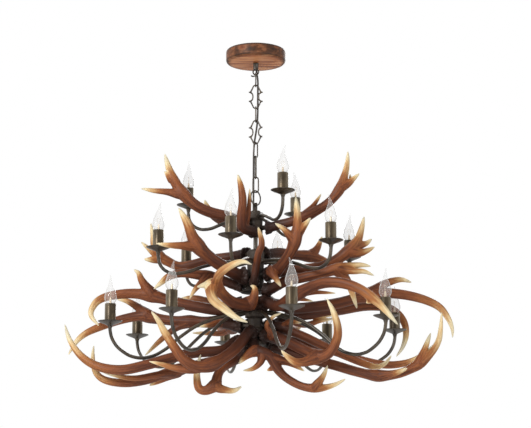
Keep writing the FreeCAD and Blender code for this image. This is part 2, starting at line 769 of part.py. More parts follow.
antler("lower_arch_antler", lower, 11, [(-8, -54, -870), (2, -74, -888), (22, -85, -897),
            (44, -84, -910), (66, -90, -948), (94, -100, -974), (134, -112, -994), (178, -120, -998),
            (216, -126, -990), (248, -130, -974)],
       (7, [(20, -84, -898), (14, -88, -924), (-6, -90, -942), (-34, -92, -948)]),
       (9, [(4, -76, -890), (-12, -86, -898), (-30, -92, -912), (-46, -96, -930)]),
       (8, [(52, -84, -914), (90, -84, -924), (116, -82, -936), (136, -80, -948)]),
       (7, [(164, -120, -996), (186, -136, -966), (198, -146, -938)]),
       (5, [(58, -88, -934), (46, -78, -940), (32, -72, -946)]))
antler("lower_curl_antler", lower, 14, [(38, -42, -846), (82, -86, -864), (132, -130, -894),
            (174, -168, -916), (204, -192, -906), (222, -204, -870), (222, -210, -834),
            (210, -212, -796), (194, -214, -764)],
       (11, [(172, -166, -916), (138, -180, -932), (110, -188, -934), (88, -192, -920), (70, -194, -902)]),
       (6, [(58, -58, -854), (32, -86, -824), (48, -96, -800), (74, -100, -788)]))
antler("lower_right_middle_antler", lower, 12, [(54, -16, -812), (92, -36, -828), (138, -54, -850),
            (194, -64, -878), (250, -70, -904), (296, -72, -924), (334, -76, -936), (360, -76, -926),
            (378, -80, -904)],
       (7, [(80, -32, -824), (98, -30, -804), (132, -26, -806)]))
antler("lower_right_front_antler", lower, 13, [(52, -24, -880), (96, -62, -894), (158, -90, -916),
            (216, -112, -934), (276, -130, -954), (336, -140, -966), (394, -144, -960),
            (442, -144, -938), (478, -142, -908), (502, -138, -872), (510, -136, -834), (514, -132, -790)],
       (8, [(336, -140, -966), (374, -160, -962), (414, -168, -948)]),
       (8, [(448, -144, -934), (466, -140, -890), (482, -136, -848)]))
antler("lower_right_back_antler", lower, 12, [(54, 14, -850), (98, 30, -852), (170, 24, -866),
            (240, 14, -888), (310, 0, -912), (372, -16, -924), (428, -30, -918), (472, -44, -896),
            (500, -56, -870)])
antler("lower_right_high_antler", lower, 15, [(60, 14, -748), (104, 26, -758), (170, 36, -752),
            (242, 40, -740), (306, 44, -722), (358, 42, -712), (404, 40, -714), (450, 38, -722),
            (494, 34, -736), (528, 30, -756), (550, 24, -788), (560, 20, -818), (560, 16, -844)],
       (11, [(318, 44, -720), (358, 46, -692), (394, 48, -676), (422, 48, -672), (450, 48, -680)]))
antler("lower_right_rear_antler", lower, 14, [(42, 32, -810), (100, 68, -780), (172, 98, -764),
            (246, 124, -750), (320, 140, -736), (380, 150, -738), (414, 152, -754), (436, 154, -784),
            (440, 152, -820), (430, 152, -854), (410, 148, -884)],
       (8, [(88, 62, -782), (140, 84, -798), (186, 104, -784), (228, 116, -776)]))
antler("lower_front_right_antler", lower, 15, [(32, -56, -752), (64, -94, -768), (106, -140, -748),
            (148, -184, -730), (190, -220, -722), (234, -250, -728), (276, -276, -746),
            (308, -290, -770), (340, -300, -802), (378, -308, -848)],
       (5, [(124, -158, -742), (172, -150, -738), (222, -146, -740)]),
       (4, [(106, -140, -750), (138, -132, -756), (160, -128, -760)]),
       (5, [(312, -292, -774), (304, -284, -782), (296, -280, -786)]))
antler("lower_back_left_antler", lower, 15, [(-40, 44, -752), (-76, 66, -754), (-124, 92, -738),
            (-166, 110, -722), (-194, 116, -718), (-228, 120, -720)])
antler("lower_rear_left_antler", lower, 16, [(-30, 44, -812), (-54, 90, -800), (-58, 150, -794),
            (-78, 220, -790), (-100, 300, -784), (-120, 370, -760), (-126, 400, -734)],
       (8, [(-68, 190, -792), (-102, 230, -804), (-146, 250, -802), (-192, 262, -800)]))
antler("lower_rear_right_antler", lower, 16, [(6, 56, -812), (18, 96, -800), (30, 150, -800),
            (56, 220, -800), (96, 300, -790), (128, 370, -768), (144, 410, -742)],
       (8, [(42, 190, -800), (108, 240, -812), (148, 270, -806)]))
antler("lower_rear_antler", lower, 17, [(22, 51, -860), (18, 100, -864), (10, 170, -864),
            (2, 240, -850), (-8, 310, -836), (-14, 370, -806), (-16, 410, -770), (-16, 430, -730)],
       (9, [(3, 230, -851), (30, 270, -862), (60, 300, -850), (84, 320, -820)]),
       (9, [(-8, 310, -836), (-36, 340, -840), (-60, 366, -826), (-74, 380, -800)]))


def limb(points, radius, sides, rooted):
    """A tapered, bent limb. A rooted one starts with its burr."""
    curve = curve_through(points)
    run = travelled(curve)
    kept = thinned(curve, section_length, section_turn)
    stations = []
    for p in kept:
        i = next(n for n, c in enumerate(curve) if (c - p).Length < 1e-9)
        stations.append((run[i], p))
    if rooted:
        stations = [s for s in stations if s[0] > burr_length + 20 or s[0] == 0]
        for far in (burr_length, burr_length + 5):
            stations.append((far, curve[0] + (curve[1] - curve[0]).normalize() * far))
        stations.sort(key=lambda s: s[0])
    line = []
    radii = []
    for far, p in stations:
        share = far / run[-1]
        thick = radius * (1 - share ** 2.2) ** 0.8 + 1.0
        if share > 0.999:
            thick = tip_radius
        if rooted and far < burr_length + 1:
            thick *= burr_flare
        line.append(p)
        radii.append(thick)
    rings = rings_along(line, radii, sides)
    if rooted:
        rings[0] = circle(line[0], (points[1] - points[0]).normalize(), radii[0], sides, rings[0][0] - line[0])
    return skin(rings)


def grown(name):
    tier, radius, beam, tines = antlers[name]
    shape = limb(beam, radius, beam_sides, True)
    if tines:
        shape = shape.fuse([limb(points, thick, tine_sides, False) for thick, points in tines])
    return shape.Solids[0]


# ---- all nodes ----------------------------------------------------------------------------------

def build():
    save("ceiling_canopy", canopy())
    save("ceiling_crossbar", ceiling_bracket())
    save("threaded_nipple", nipple())
    save("nipple_nuts", nipple_nuts())
    save("canopy_loop", canopy_loop())
    save_chain()
    save("power_cable", power_cable())
    save("fixture_neck", neck())
    save("center_pipe", center_pipe())
    save("upper_hub", upper_hub())
    save("middle_hub", middle_hub())
    save("lower_hub", lower_hub())
    save("bottom_disc", bottom_disc())
    save("bottom_nut", bottom_nut())
    for name, tier in tiers.items():
        save(name + "_arms", arms(tier))
    save("drip_pans", at_candles(drip_pan))
    save("candle_sleeves", at_candles(candle_sleeve))
    save("lampholders", at_candles(lampholder))
    save("bulb_caps", at_candles(bulb_cap))
    save("bulb_glass", at_candles(bulb_glass))
    for name in antlers:
        save(name, grown(name))


if __name__ == "__main__":
    os.makedirs("parts", exist_ok=True)
    build()
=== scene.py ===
import math

import bpy
import numpy as np
from mathutils import Matrix, Vector, noise
from mathutils.kdtree import KDTree


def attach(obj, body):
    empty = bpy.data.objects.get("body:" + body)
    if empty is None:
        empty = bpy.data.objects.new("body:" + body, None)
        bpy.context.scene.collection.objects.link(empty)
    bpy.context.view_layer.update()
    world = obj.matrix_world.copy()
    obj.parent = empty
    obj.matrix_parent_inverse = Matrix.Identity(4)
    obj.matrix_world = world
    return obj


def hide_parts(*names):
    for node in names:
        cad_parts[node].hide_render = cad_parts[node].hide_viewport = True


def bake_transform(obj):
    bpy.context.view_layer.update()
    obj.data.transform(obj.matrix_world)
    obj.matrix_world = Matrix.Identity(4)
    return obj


# A chandelier of antler branches round an iron stem, hung by a chain under a wooden canopy.
# Metres, in the frame's own axes: Z up, -Y towards the camera, the ceiling at zero.
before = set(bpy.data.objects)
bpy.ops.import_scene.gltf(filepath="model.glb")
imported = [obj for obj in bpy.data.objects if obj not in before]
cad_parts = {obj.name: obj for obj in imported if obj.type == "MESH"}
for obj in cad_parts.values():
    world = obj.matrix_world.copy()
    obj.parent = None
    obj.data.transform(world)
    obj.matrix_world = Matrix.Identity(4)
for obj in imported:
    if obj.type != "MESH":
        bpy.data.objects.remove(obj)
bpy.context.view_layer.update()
scene = bpy.context.scene
scene.view_settings.view_transform = "Standard"


# ---- canopy ----
# Round ceiling plate turned from one piece of brown wood, hollow above for the wiring, with a hole
# for the stem and one that the cable fills. Stained, with dark worn rims and streaky grain along X.
class Wire:
    """A shader value that takes part in sums."""

    def __init__(self, shader, socket):
        self.shader = shader
        self.socket = socket

    def maths(self, operation, other):
        return self.shader.node("Math", {"operation": operation}, [self, other])

    def __add__(self, other):
        return self.maths("ADD", other)

    def __sub__(self, other):
        return self.maths("SUBTRACT", other)

    def __mul__(self, other):
        return self.maths("MULTIPLY", other)

    def ramp(self, low, high, out_low=0.0, out_high=1.0):
        """A smooth step from low to high."""
        return self.shader.node("MapRange", {"interpolation_type": "SMOOTHSTEP"},
                                {"Value": self, "From Min": low, "From Max": high,
                                 "To Min": out_low, "To Max": out_high})

    def mix(self, first, second):
        """A colour between two others."""
        return self.shader.node("Mix", {"data_type": "RGBA"},
                                {0: self, 6: first, 7: second}, 2)


class Finish:
    """One material, with short ways to add nodes to it."""

    def __init__(self, name, store=bpy.data.materials, surface="Principled BSDF"):
        self.material = store.new(name)
        self.material.use_nodes = True
        self.tree = self.material.node_tree
        self.surface = self.tree.nodes[surface]

    def feed(self, socket, value):
        """Give an input a wire, a colour or a number."""
        if isinstance(value, Wire):
            self.tree.links.new(value.socket, socket)
        elif isinstance(value, tuple) and socket.type == "RGBA":
            socket.default_value = (*value, 1)
        else:
            socket.default_value = value

    def node(self, kind, settings=None, values=None, out=0):
        made = self.tree.nodes.new("ShaderNode" + kind)
        for key, value in (settings or {}).items():
            setattr(made, key, value)
        for key, value in values.items() if isinstance(values, dict) else enumerate(values or []):
            self.feed(made.inputs[key], value)
        return Wire(self, made.outputs[out])

    def stops(self, value, *places):
        """The colour of a value on a ramp of (place, red, green, blue) stops."""
        found = self.node("ValToRGB", {}, [value])
        elements = found.socket.node.color_ramp.elements
        while len(elements) < len(places):
            elements.new(0.5)
        for element, (place, *colour) in zip(elements, places):
            element.position = place
            element.color = (*paint(*colour), 1)
        return found

    def place(self, stretch=(1, 1, 1), turn=(0, 0, 0), where=None):
        """Object coordinates, or given ones, stretched and turned."""
        where = where or self.node("TexCoord", out="Object")
        return self.node("Mapping", {}, {"Vector": where, "Scale": stretch, "Rotation": turn})

    def noise(self, scale, detail, roughness=0.55, stretch=(1, 1, 1), **more):
        return self.node("TexNoise", {}, {"Vector": self.place(stretch, **more), "Scale": scale,
                                          "Detail": detail, "Roughness": roughness})

    def set(self, **values):
        for key, value in values.items():
            self.feed(self.surface.inputs[key.replace("_", " ")], value)

    def bump(self, height, strength, distance):
        self.set(Normal=self.node("Bump", {}, {"Height": height, "Strength": strength,
                                               "Distance": distance}))


def paint(red, green, blue):
    """A colour from its 0 to 255 values, as the shader wants it."""
    return tuple(((c / 255 + 0.055) / 1.055) ** 2.4 for c in (red, green, blue))


def only(obj):
    """Make one object the selected and active one."""
    bpy.ops.object.select_all(action="DESELECT")
    obj.select_set(True)
    bpy.context.view_layer.objects.active = obj


def joined(objects):
    """Make one object of several."""
    only(objects[0])
    for obj in objects:
        obj.select_set(True)
    if len(objects) > 1:
        bpy.ops.object.join()
    return bpy.context.object


def applied(obj, kind, **settings):
    """Give a piece a modifier and apply it."""
    only(obj)
    modifier = obj.modifiers.new(kind.lower(), kind)
    for key, value in settings.items():
        setattr(modifier, key, value)
    bpy.ops.object.modifier_apply(modifier=modifier.name)


def lathe(outline, steps=64, closed=False):
    """Turn a profile of (radius, height) points round the Z axis, by spinning it."""
    edges = [(i, i + 1) for i in range(len(outline) - 1)]
    if closed:
        edges.append((len(outline) - 1, 0))
    mesh = bpy.data.meshes.new("profile")
    mesh.from_pydata([(r, 0, z) for r, z in outline], edges, [])
    obj = bpy.data.objects.new("profile", mesh)
    scene.collection.objects.link(obj)
    only(obj)
    bpy.ops.object.mode_set(mode="EDIT")
    bpy.ops.mesh.select_all(action="SELECT")
    bpy.ops.mesh.spin(steps=steps, angle=2 * math.pi, center=(0, 0, 0), axis=(0, 0, 1))
    bpy.ops.mesh.select_all(action="SELECT")
    bpy.ops.mesh.remove_doubles(threshold=1e-6)
    bpy.ops.mesh.normals_make_consistent(inside=False)
    bpy.ops.object.mode_set(mode="OBJECT")
    bpy.ops.object.shade_smooth_by_angle(angle=math.radians(35))
    return obj


def finished(obj, name, body, finish, slot, *nodes):
    """Apply the object's place, name it, paint it and bind it to the frame."""
    only(obj)
    bpy.ops.object.transform_apply(location=True, rotation=True, scale=True)
    obj.name = name
    obj.data.name = name
    obj.data.materials.clear()
    obj.data.materials.append(finish.material)
    if body:
        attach(obj, body)
    if nodes:
        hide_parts(*nodes)


canopy_radius = 0.087
underside = -0.037
floor_top = underside + 0.009
stem_hole = 0.0053
canopy = lathe([(stem_hole, floor_top), (stem_hole, underside), (0.045, underside - 0.00001),
                (0.081, underside + 0.0002), (0.0838, underside + 0.0012),
                (0.0858, underside + 0.0034), (canopy_radius, underside + 0.007),
                (canopy_radius, -0.02), (canopy_radius, -0.006), (0.0862, -0.003), (0.0846, -0.001),
                (0.082, 0), (0.0782, 0), (0.078, -0.0005), (0.078, -0.02), (0.076, floor_top),
                (0.04, floor_top)], 128, True)
wood = Finish("canopy_wood")
slope = (0, 0, 0.16)  # the grain runs a little off the X axis, in radians
grain = wood.noise(1.0, 5, 0.6, (7, 46, 30), turn=slope)
broad = wood.noise(1.0, 3, 0.55, (5, 20, 14), turn=slope)
pore = wood.noise(1.6, 3, 0.6, (40, 520, 300))
patch = wood.noise(1.0, 3, 0.6, (20, 20, 30))
height = wood.node("SeparateXYZ", {}, {0: wood.place()}, 2)
reach = wood.node("VectorMath", {"operation": "LENGTH"}, {0: wood.place((1, 1, 0))}, 1)
under = wood.stops(grain * 0.7 + broad * 0.3, (0.36, 116, 64, 36), (0.44, 166, 98, 56),
                   (0.52, 204, 142, 96), (0.60, 170, 98, 54), (0.68, 140, 84, 50))
wall = wood.stops(patch * 0.75 + grain * 0.25, (0.36, 46, 30, 20), (0.44, 84, 50, 30),
                  (0.51, 128, 82, 54), (0.57, 112, 58, 28), (0.66, 66, 46, 28))
side = height.ramp(underside, underside + 0.004) * reach.ramp(0.0845, 0.0862)
low_edge = reach.ramp(0.070, 0.0855) * height.ramp(underside + 0.004, underside + 0.010, 1.0, 0.0)
top_edge = height.ramp(-0.0085, -0.0025)
worn = low_edge * broad.ramp(0.35, 0.6, 0.55, 0.95) + top_edge * 0.9 + pore.ramp(0.55, 0.75) * 0.2
wood.set(Base_Color=worn.maths("MINIMUM", 0.93).mix(side.mix(under, wall), paint(46, 32, 24)),
         Roughness=pore.ramp(0.3, 0.7, 0.42, 0.6), Specular_IOR_Level=0.2)
wood.bump(pore * 0.5 + grain * 0.5, 0.35, 0.0012)
finished(canopy, "wood_canopy", "canopy", wood, "canopy_wood", "ceiling_canopy")


# ---- ceiling hardware ----
# Zinc-plated steel crossbar that screws to the ceiling box, with the threaded nipple and its two
# nuts. Stamped and cut, bright, hidden once the canopy is up.
zinc = Finish("zinc_steel")
spangle = zinc.noise(240, 2)
zinc.set(Base_Color=spangle.mix(paint(150, 152, 155), paint(205, 206, 208)), Metallic=0.95,
         Roughness=spangle.ramp(0.3, 0.7, 0.28, 0.5))


def paint_kept(finish, *nodes):
    """Give a finish to pieces that are shown as the frame made them."""
    for node in nodes:
        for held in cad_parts[node].material_slots:
            held.material = finish.material


paint_kept(zinc, "ceiling_crossbar", "threaded_nipple", "nipple_nuts")


# ---- canopy loop ----
# Dark bronze stem under the canopy, ending in a ring that the chain's hook hangs in. Turned steel
# with a bent and welded wire ring.
bronze = Finish("bronze_paint")
cloud = bronze.noise(38, 4)
speck = bronze.noise(700, 3, 0.6)
mottle = (cloud * 0.7 + speck * 0.3).ramp(0.35, 0.68)
bronze.set(Base_Color=mottle.mix(paint(37, 30, 21), paint(74, 62, 45)), Metallic=0.4,
           Roughness=cloud.ramp(0.3, 0.7, 0.30, 0.46), Coat_Weight=0.35, Coat_Roughness=0.22)
bronze.bump(speck, 0.12, 0.0004)


def set_at(obj, height, turn):
    """Turn a mesh about the Z axis, in degrees, and lift it to its height."""
    obj.data.transform(Matrix.Translation((0, 0, height))
                       @ Matrix.Rotation(math.radians(turn), 4, "Z"))
    bpy.ops.object.shade_smooth()
    return obj


def wire_ring(radius, wire, height, turn, stretch=0.0, steps=40):
    """A closed wire ring in an upright plane, drawn out in height by stretch if it is a link."""
    bpy.ops.mesh.primitive_torus_add(major_segments=steps, minor_segments=14, major_radius=radius,
                                     minor_radius=wire)
    obj = bpy.context.object
    bpy.ops.object.mode_set(mode="EDIT")
    bpy.ops.mesh.select_all(action="SELECT")
    bpy.ops.transform.rotate(value=math.pi / 2, orient_axis="X", center_override=(0, 0, 0))
    bpy.ops.object.mode_set(mode="OBJECT")
    for v in obj.data.vertices:
        if abs(v.co.z) > 1e-5:
            v.co.z += math.copysign(stretch, v.co.z)
    return set_at(obj, height, turn)


eye_bend = 0.008
eye_wire = 0.0022
eye_height = -0.0642
stem = lathe([(0, -0.058), (0.0062, -0.058), (0.0075, -0.0565), (0.0075, -0.0425), (0.0084, -0.041),
              (0.0084, -0.0385), (0.0078, -0.0372), (0, -0.0372)], 40)
eye = wire_ring(eye_bend, eye_wire, eye_height, 0)
finished(joined([stem, eye]), "loop_stem", "canopy", bronze, "bronze_paint", "canopy_loop")


# ---- hook ----
# Open link that hangs in the canopy loop and carries the chain, its free end curled out to the
# left. Steel wire bent cold, painted dark bronze.
def round_wire(radius, rounding):
    """Curve data with the section of a round wire and no run yet."""
    curve = bpy.data.curves.new("wire", "CURVE")
    curve.dimensions = "3D"
    curve.bevel_depth = radius
    curve.bevel_resolution = rounding
    curve.use_fill_caps = True
    return curve


def as_mesh(curve):
    obj = bpy.data.objects.new("wire", curve)
    scene.collection.objects.link(obj)
    only(obj)
    bpy.ops.object.convert(target="MESH")
    return bpy.context.object


def bent_wire(points, wire, closed=False, height=0.0, turn=0, corners=(), thick=1.0):
    """A mesh of wire bent through points. Corners are sharp bends, with thick times the wire."""
    curve = round_wire(wire, 5)
    curve.resolution_u = 7
    line = curve.splines.new("BEZIER")
    line.bezier_points.add(len(points) - 1)
    line.use_cyclic_u = closed
    for i, (knot, point) in enumerate(zip(line.bezier_points, points)):
        knot.co = point
        knot.handle_left_type = knot.handle_right_type = "VECTOR" if i in corners else "AUTO"
        knot.radius = thick if i in corners else 1.0
    return set_at(as_mesh(curve), height, turn)


def bow(angle, middle):
    """A point of a link's round end, at an angle from the back, round a middle on the Z axis."""
    turn = math.radians(angle)
    return (0, link_bow * math.cos(turn), middle + link_bow * math.sin(turn))


hung_at = {  # the heights of the links' middles
    "hook": -0.0882, "ornamental_link_a": -0.1393, "link_1": -0.19255, "ornamental_link_b": -0.2458,
    "link_2": -0.29905, "link_3": -0.35065, "link_4": -0.40225, "ring": -0.4411}
link_wire = 0.002
link_bow = 0.008
hook_length = 0.041
hook_rise = hook_length / 2 - link_bow
hook_line = [(-0.014, 0.010, 0.0155), (-0.0062, 0.0095, 0.0137)]
hook_line += [bow(angle, hook_rise) for angle in (35, 90, 145)]
hook_line += [(0, -link_bow, hook_rise - 0.004)]
hook_line += [bow(angle, -hook_rise) for angle in (180, 225, 270, 315, 360)]
hook_line += [(0, link_bow, 0), (0, link_bow, 0.0065)]
hook = bent_wire(hook_line, link_wire, False, hung_at["hook"])
finished(hook, "chain_hook", "hook", bronze, "bronze_paint", "hook_link")


# ---- ornamental links ----
# Two pointed links with waisted sides and a spur at each shoulder, the upper one square to the
# camera. Bent from steel wire with the spurs welded on, painted dark bronze.
ornament_wire = 0.0021
shoulder_swell = 1.3
apex = 0.035
quarter = [(0.0085, 0), (0.0100, 0.0083), (0.0152, 0.0135), (0.0100, 0.0243), (0.0052, 0.0331)]
side_line = [(x, -z) for x, z in reversed(quarter[1:])] + quarter
ornament_line = side_line + [(0, apex)] + [(-x, z) for x, z in reversed(side_line)] + [(0, -apex)]
shoulders = [i for i, (x, z) in enumerate(ornament_line) if abs(x) > 0.015]
spur_root = 0.0030
spur_tip = 0.0017
spur_length = 0.0064
spur_reach = 0.0172
spur_rise = 0.0137
for name, body, turn in (("upper", "ornamental_link_a", 0), ("lower", "ornamental_link_b", -10)):
    parts = [bent_wire([(x, 0, z) for x, z in ornament_line], ornament_wire, True, hung_at[body],
                       turn, shoulders, shoulder_swell)]
    for across in (-1, 1):
        for up in (-1, 1):
            bpy.ops.mesh.primitive_cone_add(
                vertices=20, radius1=spur_root, radius2=spur_tip, depth=spur_length,
                location=(across * spur_reach, 0, up * spur_rise),
                rotation=(0, across * math.pi / 2, 0))
            bpy.ops.object.transform_apply(location=True, rotation=True, scale=True)
            parts.append(set_at(bpy.context.object, hung_at[body], turn))
    finished(joined(parts), name + "_ornament", body, bronze, "bronze_paint",
             name + "_ornamental_link")


# ---- plain chain ----
# Four oval links between and below the ornaments, and the round ring that takes the fixture's lug.
# Welded steel wire, each turned across the one above, painted dark bronze.
link_length = 0.0453
long_length = 0.0665
long_wire = 0.00184  # round wire that stays clear at the swing limits, as does the ring's
for name, body, length, turn, wire in (
        ("upper", "link_1", link_length, 90, link_wire),
        ("middle", "link_2", link_length, 49, link_wire),
        ("long", "link_3", long_length, 100, long_wire),
        ("lower", "link_4", link_length, 5, link_wire)):
    link = wire_ring(link_bow, wire, hung_at[body], turn, length / 2 - link_bow)
    finished(link, name + "_chain_link", body, bronze, "bronze_paint", "chain_" + body)
ring_bend = 0.0212
ring_wire = 0.0021
ring_turn = 50
ring = wire_ring(ring_bend, ring_wire, hung_at["ring"], ring_turn, 0, 64)
finished(ring, "lug_ring", "ring", bronze, "bronze_paint", "hanging_ring")


# ---- power cable ----
# Dark sheathed flex that comes out of the canopy, threads down behind the chain and goes into the
# fixture through its flange. One length, cut at the links' middles into a piece for each link and
# one for the fixture.
sheath = Finish("cable_sheath")
weave = sheath.noise(900, 2, 0.55, (1, 1, 3))
sheath.set(Base_Color=weave.ramp(0.3, 0.7).mix(paint(38, 32, 27), paint(62, 54, 45)),
           Roughness=weave.ramp(0.3, 0.7, 0.55, 0.7))
sheath.bump(weave, 0.2, 0.0002)
cable_radius = 0.0027
route = [(0, 12.5, -4), (0, 12.5, -50), (6.5, 9.5, -85), (5.9, 6.2, -120), (5.9, 5.9, -205),
         (1, 6.4, -245), (-5.9, 6.3, -285), (-6.3, 5.9, -380), (-6.3, 5.9, -501.8)]  # millimetres
curve = round_wire(cable_radius, 4)
curve.resolution_u = 14
run = curve.splines.new("NURBS")
run.points.add(len(route) - 1)
for point, where in zip(run.points, route):
    point.co = (*(Vector(where) * 0.001), 1)
run.order_u = 3
run.use_endpoint_u = True
cable = as_mesh(curve)
bpy.ops.object.shade_smooth()
links = ["canopy", *hung_at, "fixture"]
middles = [0.1, *hung_at.values(), -1]  # the first and last lie beyond the cable's ends
pivots = [-0.0722, -0.1087, -0.1743, -0.2152, -0.2808, -0.3217, -0.3839, -0.4249, -0.4623]
for i, pivot in enumerate(pivots):
    only(cable)
    bpy.ops.object.duplicate()
    part = bpy.context.object
    bpy.ops.object.mode_set(mode="EDIT")
    for cut_height, inner, outer in ((middles[i], False, True), (middles[i + 1], True, False)):
        bpy.ops.mesh.select_all(action="SELECT")
        bpy.ops.mesh.bisect(plane_co=(0, 0, cut_height), plane_no=(0, 0, 1), clear_inner=inner,
                            clear_outer=outer)
    bpy.ops.object.mode_set(mode="OBJECT")
    finished(part, "cable_" + links[i + 1], None, sheath, "cable", "power_cable")
    reach = 0.9 * min(middles[i] - pivot, pivot - middles[i + 1])
    pivot + reach
    pivot - reach
    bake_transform(part)
bpy.data.objects.remove(cable)


# ---- neck ----
# Flat iron lug with an eye, standing on a round flange on top of the upper hub. Forged and welded,
# painted with the hubs.
iron = Finish("cast_hub")
sand = iron.noise(420, 4, 0.6)
stain = iron.noise(30, 3)
mottle = (sand * 0.4 + stain * 0.6).ramp(0.35, 0.65)
iron.set(Base_Color=mottle.mix(paint(30, 24, 20), paint(64, 53, 42)), Metallic=0.35,
         Roughness=sand.ramp(0.3, 0.7, 0.5, 0.72))
iron.bump(sand, 0.5, 0.0008)
lug_thickness = 0.005
lug_width = 0.010
lug_top = -0.4557
hub_top = -0.485
lug_hole = 0.0037
lug_hole_height = -0.46312
flange_radius = 0.014
flange_top = hub_top + 0.005


def drilled(obj, radius, height, turn=(0, 0, 0)):
    """Cut a round hole through a piece, at a height of the Z axis."""
    bpy.ops.mesh.primitive_cylinder_add(vertices=48, radius=radius, depth=0.02,
                                        location=(0, 0, height), rotation=turn)
    punch = bpy.context.object
    applied(obj, "BOOLEAN", operation="DIFFERENCE", object=punch)
    bpy.data.objects.remove(punch)


bpy.ops.mesh.primitive_cube_add(size=1, location=(0, 0, (lug_top + hub_top) / 2))
lug = bpy.context.object
lug.scale = (lug_thickness, lug_width, lug_top - hub_top)
bpy.ops.object.transform_apply(location=True, scale=True)
drilled(lug, lug_hole, lug_hole_height, (0, math.pi / 2, 0))
applied(lug, "BEVEL", width=0.0009, segments=3, limit_method="ANGLE")
applied(lug, "TRIANGULATE")
lug.data.transform(Matrix.Rotation(math.radians(ring_turn), 4, "Z"))
flange = lathe([(0, hub_top), (flange_radius, hub_top), (flange_radius, hub_top + 0.0038),
                (flange_radius - 0.0012, flange_top), (0, flange_top)], 48)
finished(joined([lug, flange]), "neck_lug", "fixture", iron, "cast_hub", "fixture_neck")


# ---- hubs ----
# Three iron bodies threaded on the central pipe, with sockets for the candle arms. Sand cast, so
# their edges are soft and their skin is rough. Millimetres in the tables, metres elsewhere.
tiers = {  # lights, ring radius, first angle, sleeve top, arm exit height, arm (radius, height)s
    "upper": (3, 196, 23, -408, -498,
              [(60, -503), (100, -517), (141, -530), (172, -525), (190, -507)]),
    "middle": (6, 285, -13.2, -551, -628,
               [(90, -633), (150, -648), (215, -670), (250, -671), (276, -654)]),
    "lower": (8, 414, 13.4, -762, -774,
              [(85, -785), (160, -812), (217, -850), (262, -888), (300, -907), (340, -910),
               (376, -895), (404, -866)])}
socket_start = 14
socket_end = 34
socket_root = 0.0078
socket_lip = 0.0068
cast_voxel = 0.0013
cast_grain = 260
cast_depth = 0.0005


def out(angle, reach, height):
    """A point at a bearing from the front, in millimetres, as metres."""
    turn = math.radians(angle)
    return Vector((math.sin(turn) * reach, -math.cos(turn) * reach, height)) * 0.001


def bearings(tier):
    lights, first = tiers[tier][0], tiers[tier][2]
    return [first + 360 * i / lights for i in range(lights)]


def spoke(start, end, thick, thin, sides=20):
    """A round bar between two points."""
    run = end - start
    bpy.ops.mesh.primitive_cone_add(vertices=sides, radius1=thick, radius2=thin, depth=run.length)
    bar = bpy.context.object
    facing = run.to_track_quat("Z", "Y").to_matrix().to_4x4()
    bar.data.transform(Matrix.Translation((start + end) / 2) @ facing)
    return bar


def swell(obj, amounts):
    """Move every vertex of a mesh along its normal."""
    mesh = obj.data
    at = np.empty(3 * len(mesh.vertices), np.float32)
    mesh.vertices.foreach_get("co", at)
    normal = np.empty_like(at)
    mesh.vertex_normals.foreach_get("vector", normal)
    mesh.vertices.foreach_set("co", at + normal * np.repeat(np.array(amounts, np.float32), 3))
    mesh.update()


def melted(parts, voxel, rounds):
    """Make one soft skin of several pieces."""
    body = joined(parts)
    applied(body, "REMESH", mode="VOXEL", voxel_size=voxel)
    applied(body, "SMOOTH", factor=0.5, iterations=rounds)
    bpy.ops.object.shade_smooth()
    return body


def cast(parts):
    """Melt pieces into one rough casting."""
    body = melted(parts, cast_voxel, 5)
    swell(body, [cast_depth * noise.noise(v.co * cast_grain) for v in body.data.vertices])
    return body


hub_outlines = {
    "upper": [(6.8, -556), (16, -556), (20, -551), (20, -510), (25, -505), (25, -489), (23, -486.5),
              (16, -485), (12.4, -485), (12.4, -508), (6.8, -508)],
    "middle": [(6.8, -718), (41, -718), (44, -715), (36, -712), (24, -700), (24, -603), (22, -597),
               (16, -593), (6.8, -593)],
    "lower": [(6.8, -858), (30, -858), (30, -824), (20, -818), (20, -792), (30, -788), (30, -746),
              (27, -742), (20, -740), (6.8, -740)]}
for tier, outline in hub_outlines.items():
    parts = [lathe([(r / 1000, z / 1000) for r, z in outline], 48, True)]
    exit_height = tiers[tier][4]
    for bearing in bearings(tier):
        parts.append(spoke(out(bearing, socket_start, exit_height + 1),
                           out(bearing, socket_end, exit_height), socket_root, socket_lip))
    finished(cast(parts), tier + "_hub_casting", "fixture", iron, "cast_hub", tier + "_hub")


# ---- pipe, disc and nut ----
# Threaded steel pipe through the three hubs, closed below by a cast disc and a hexagon nut.
# Bought-in pipe and nut, disc sand cast.
pipe_radius = 0.0065
pipe_bore = 0.0042
pipe_top = -0.509
pipe_end = -0.881
pipe = lathe([(pipe_radius, pipe_end), (pipe_radius, pipe_top), (pipe_bore, pipe_top),
              (pipe_bore, pipe_end)], 48, True)
finished(pipe, "stem_pipe", "fixture", bronze, "bronze_paint", "center_pipe")
pipe_hole = 0.0068
disc_top = -0.858
disc_bottom = -0.872
disc = lathe([(pipe_hole, disc_bottom), (0.036, disc_bottom), (0.046, disc_bottom + 0.004),
              (0.046, disc_top - 0.003), (0.042, disc_top), (pipe_hole, disc_top)], 64, True)
finished(cast([disc]), "closing_disc", "fixture", iron, "cast_hub", "bottom_disc")
nut_middle = -0.8765
nut_height = 0.009
nut_corner = 0.011
bpy.ops.mesh.primitive_cylinder_add(vertices=6, radius=nut_corner, depth=nut_height,
                                    location=(0, 0, nut_middle))
nut = bpy.context.object
drilled(nut, pipe_hole, nut_middle)
applied(nut, "BEVEL", width=0.0006, segments=2, limit_method="ANGLE")
finished(nut, "closing_nut", "fixture", zinc, "zinc_steel", "bottom_nut")


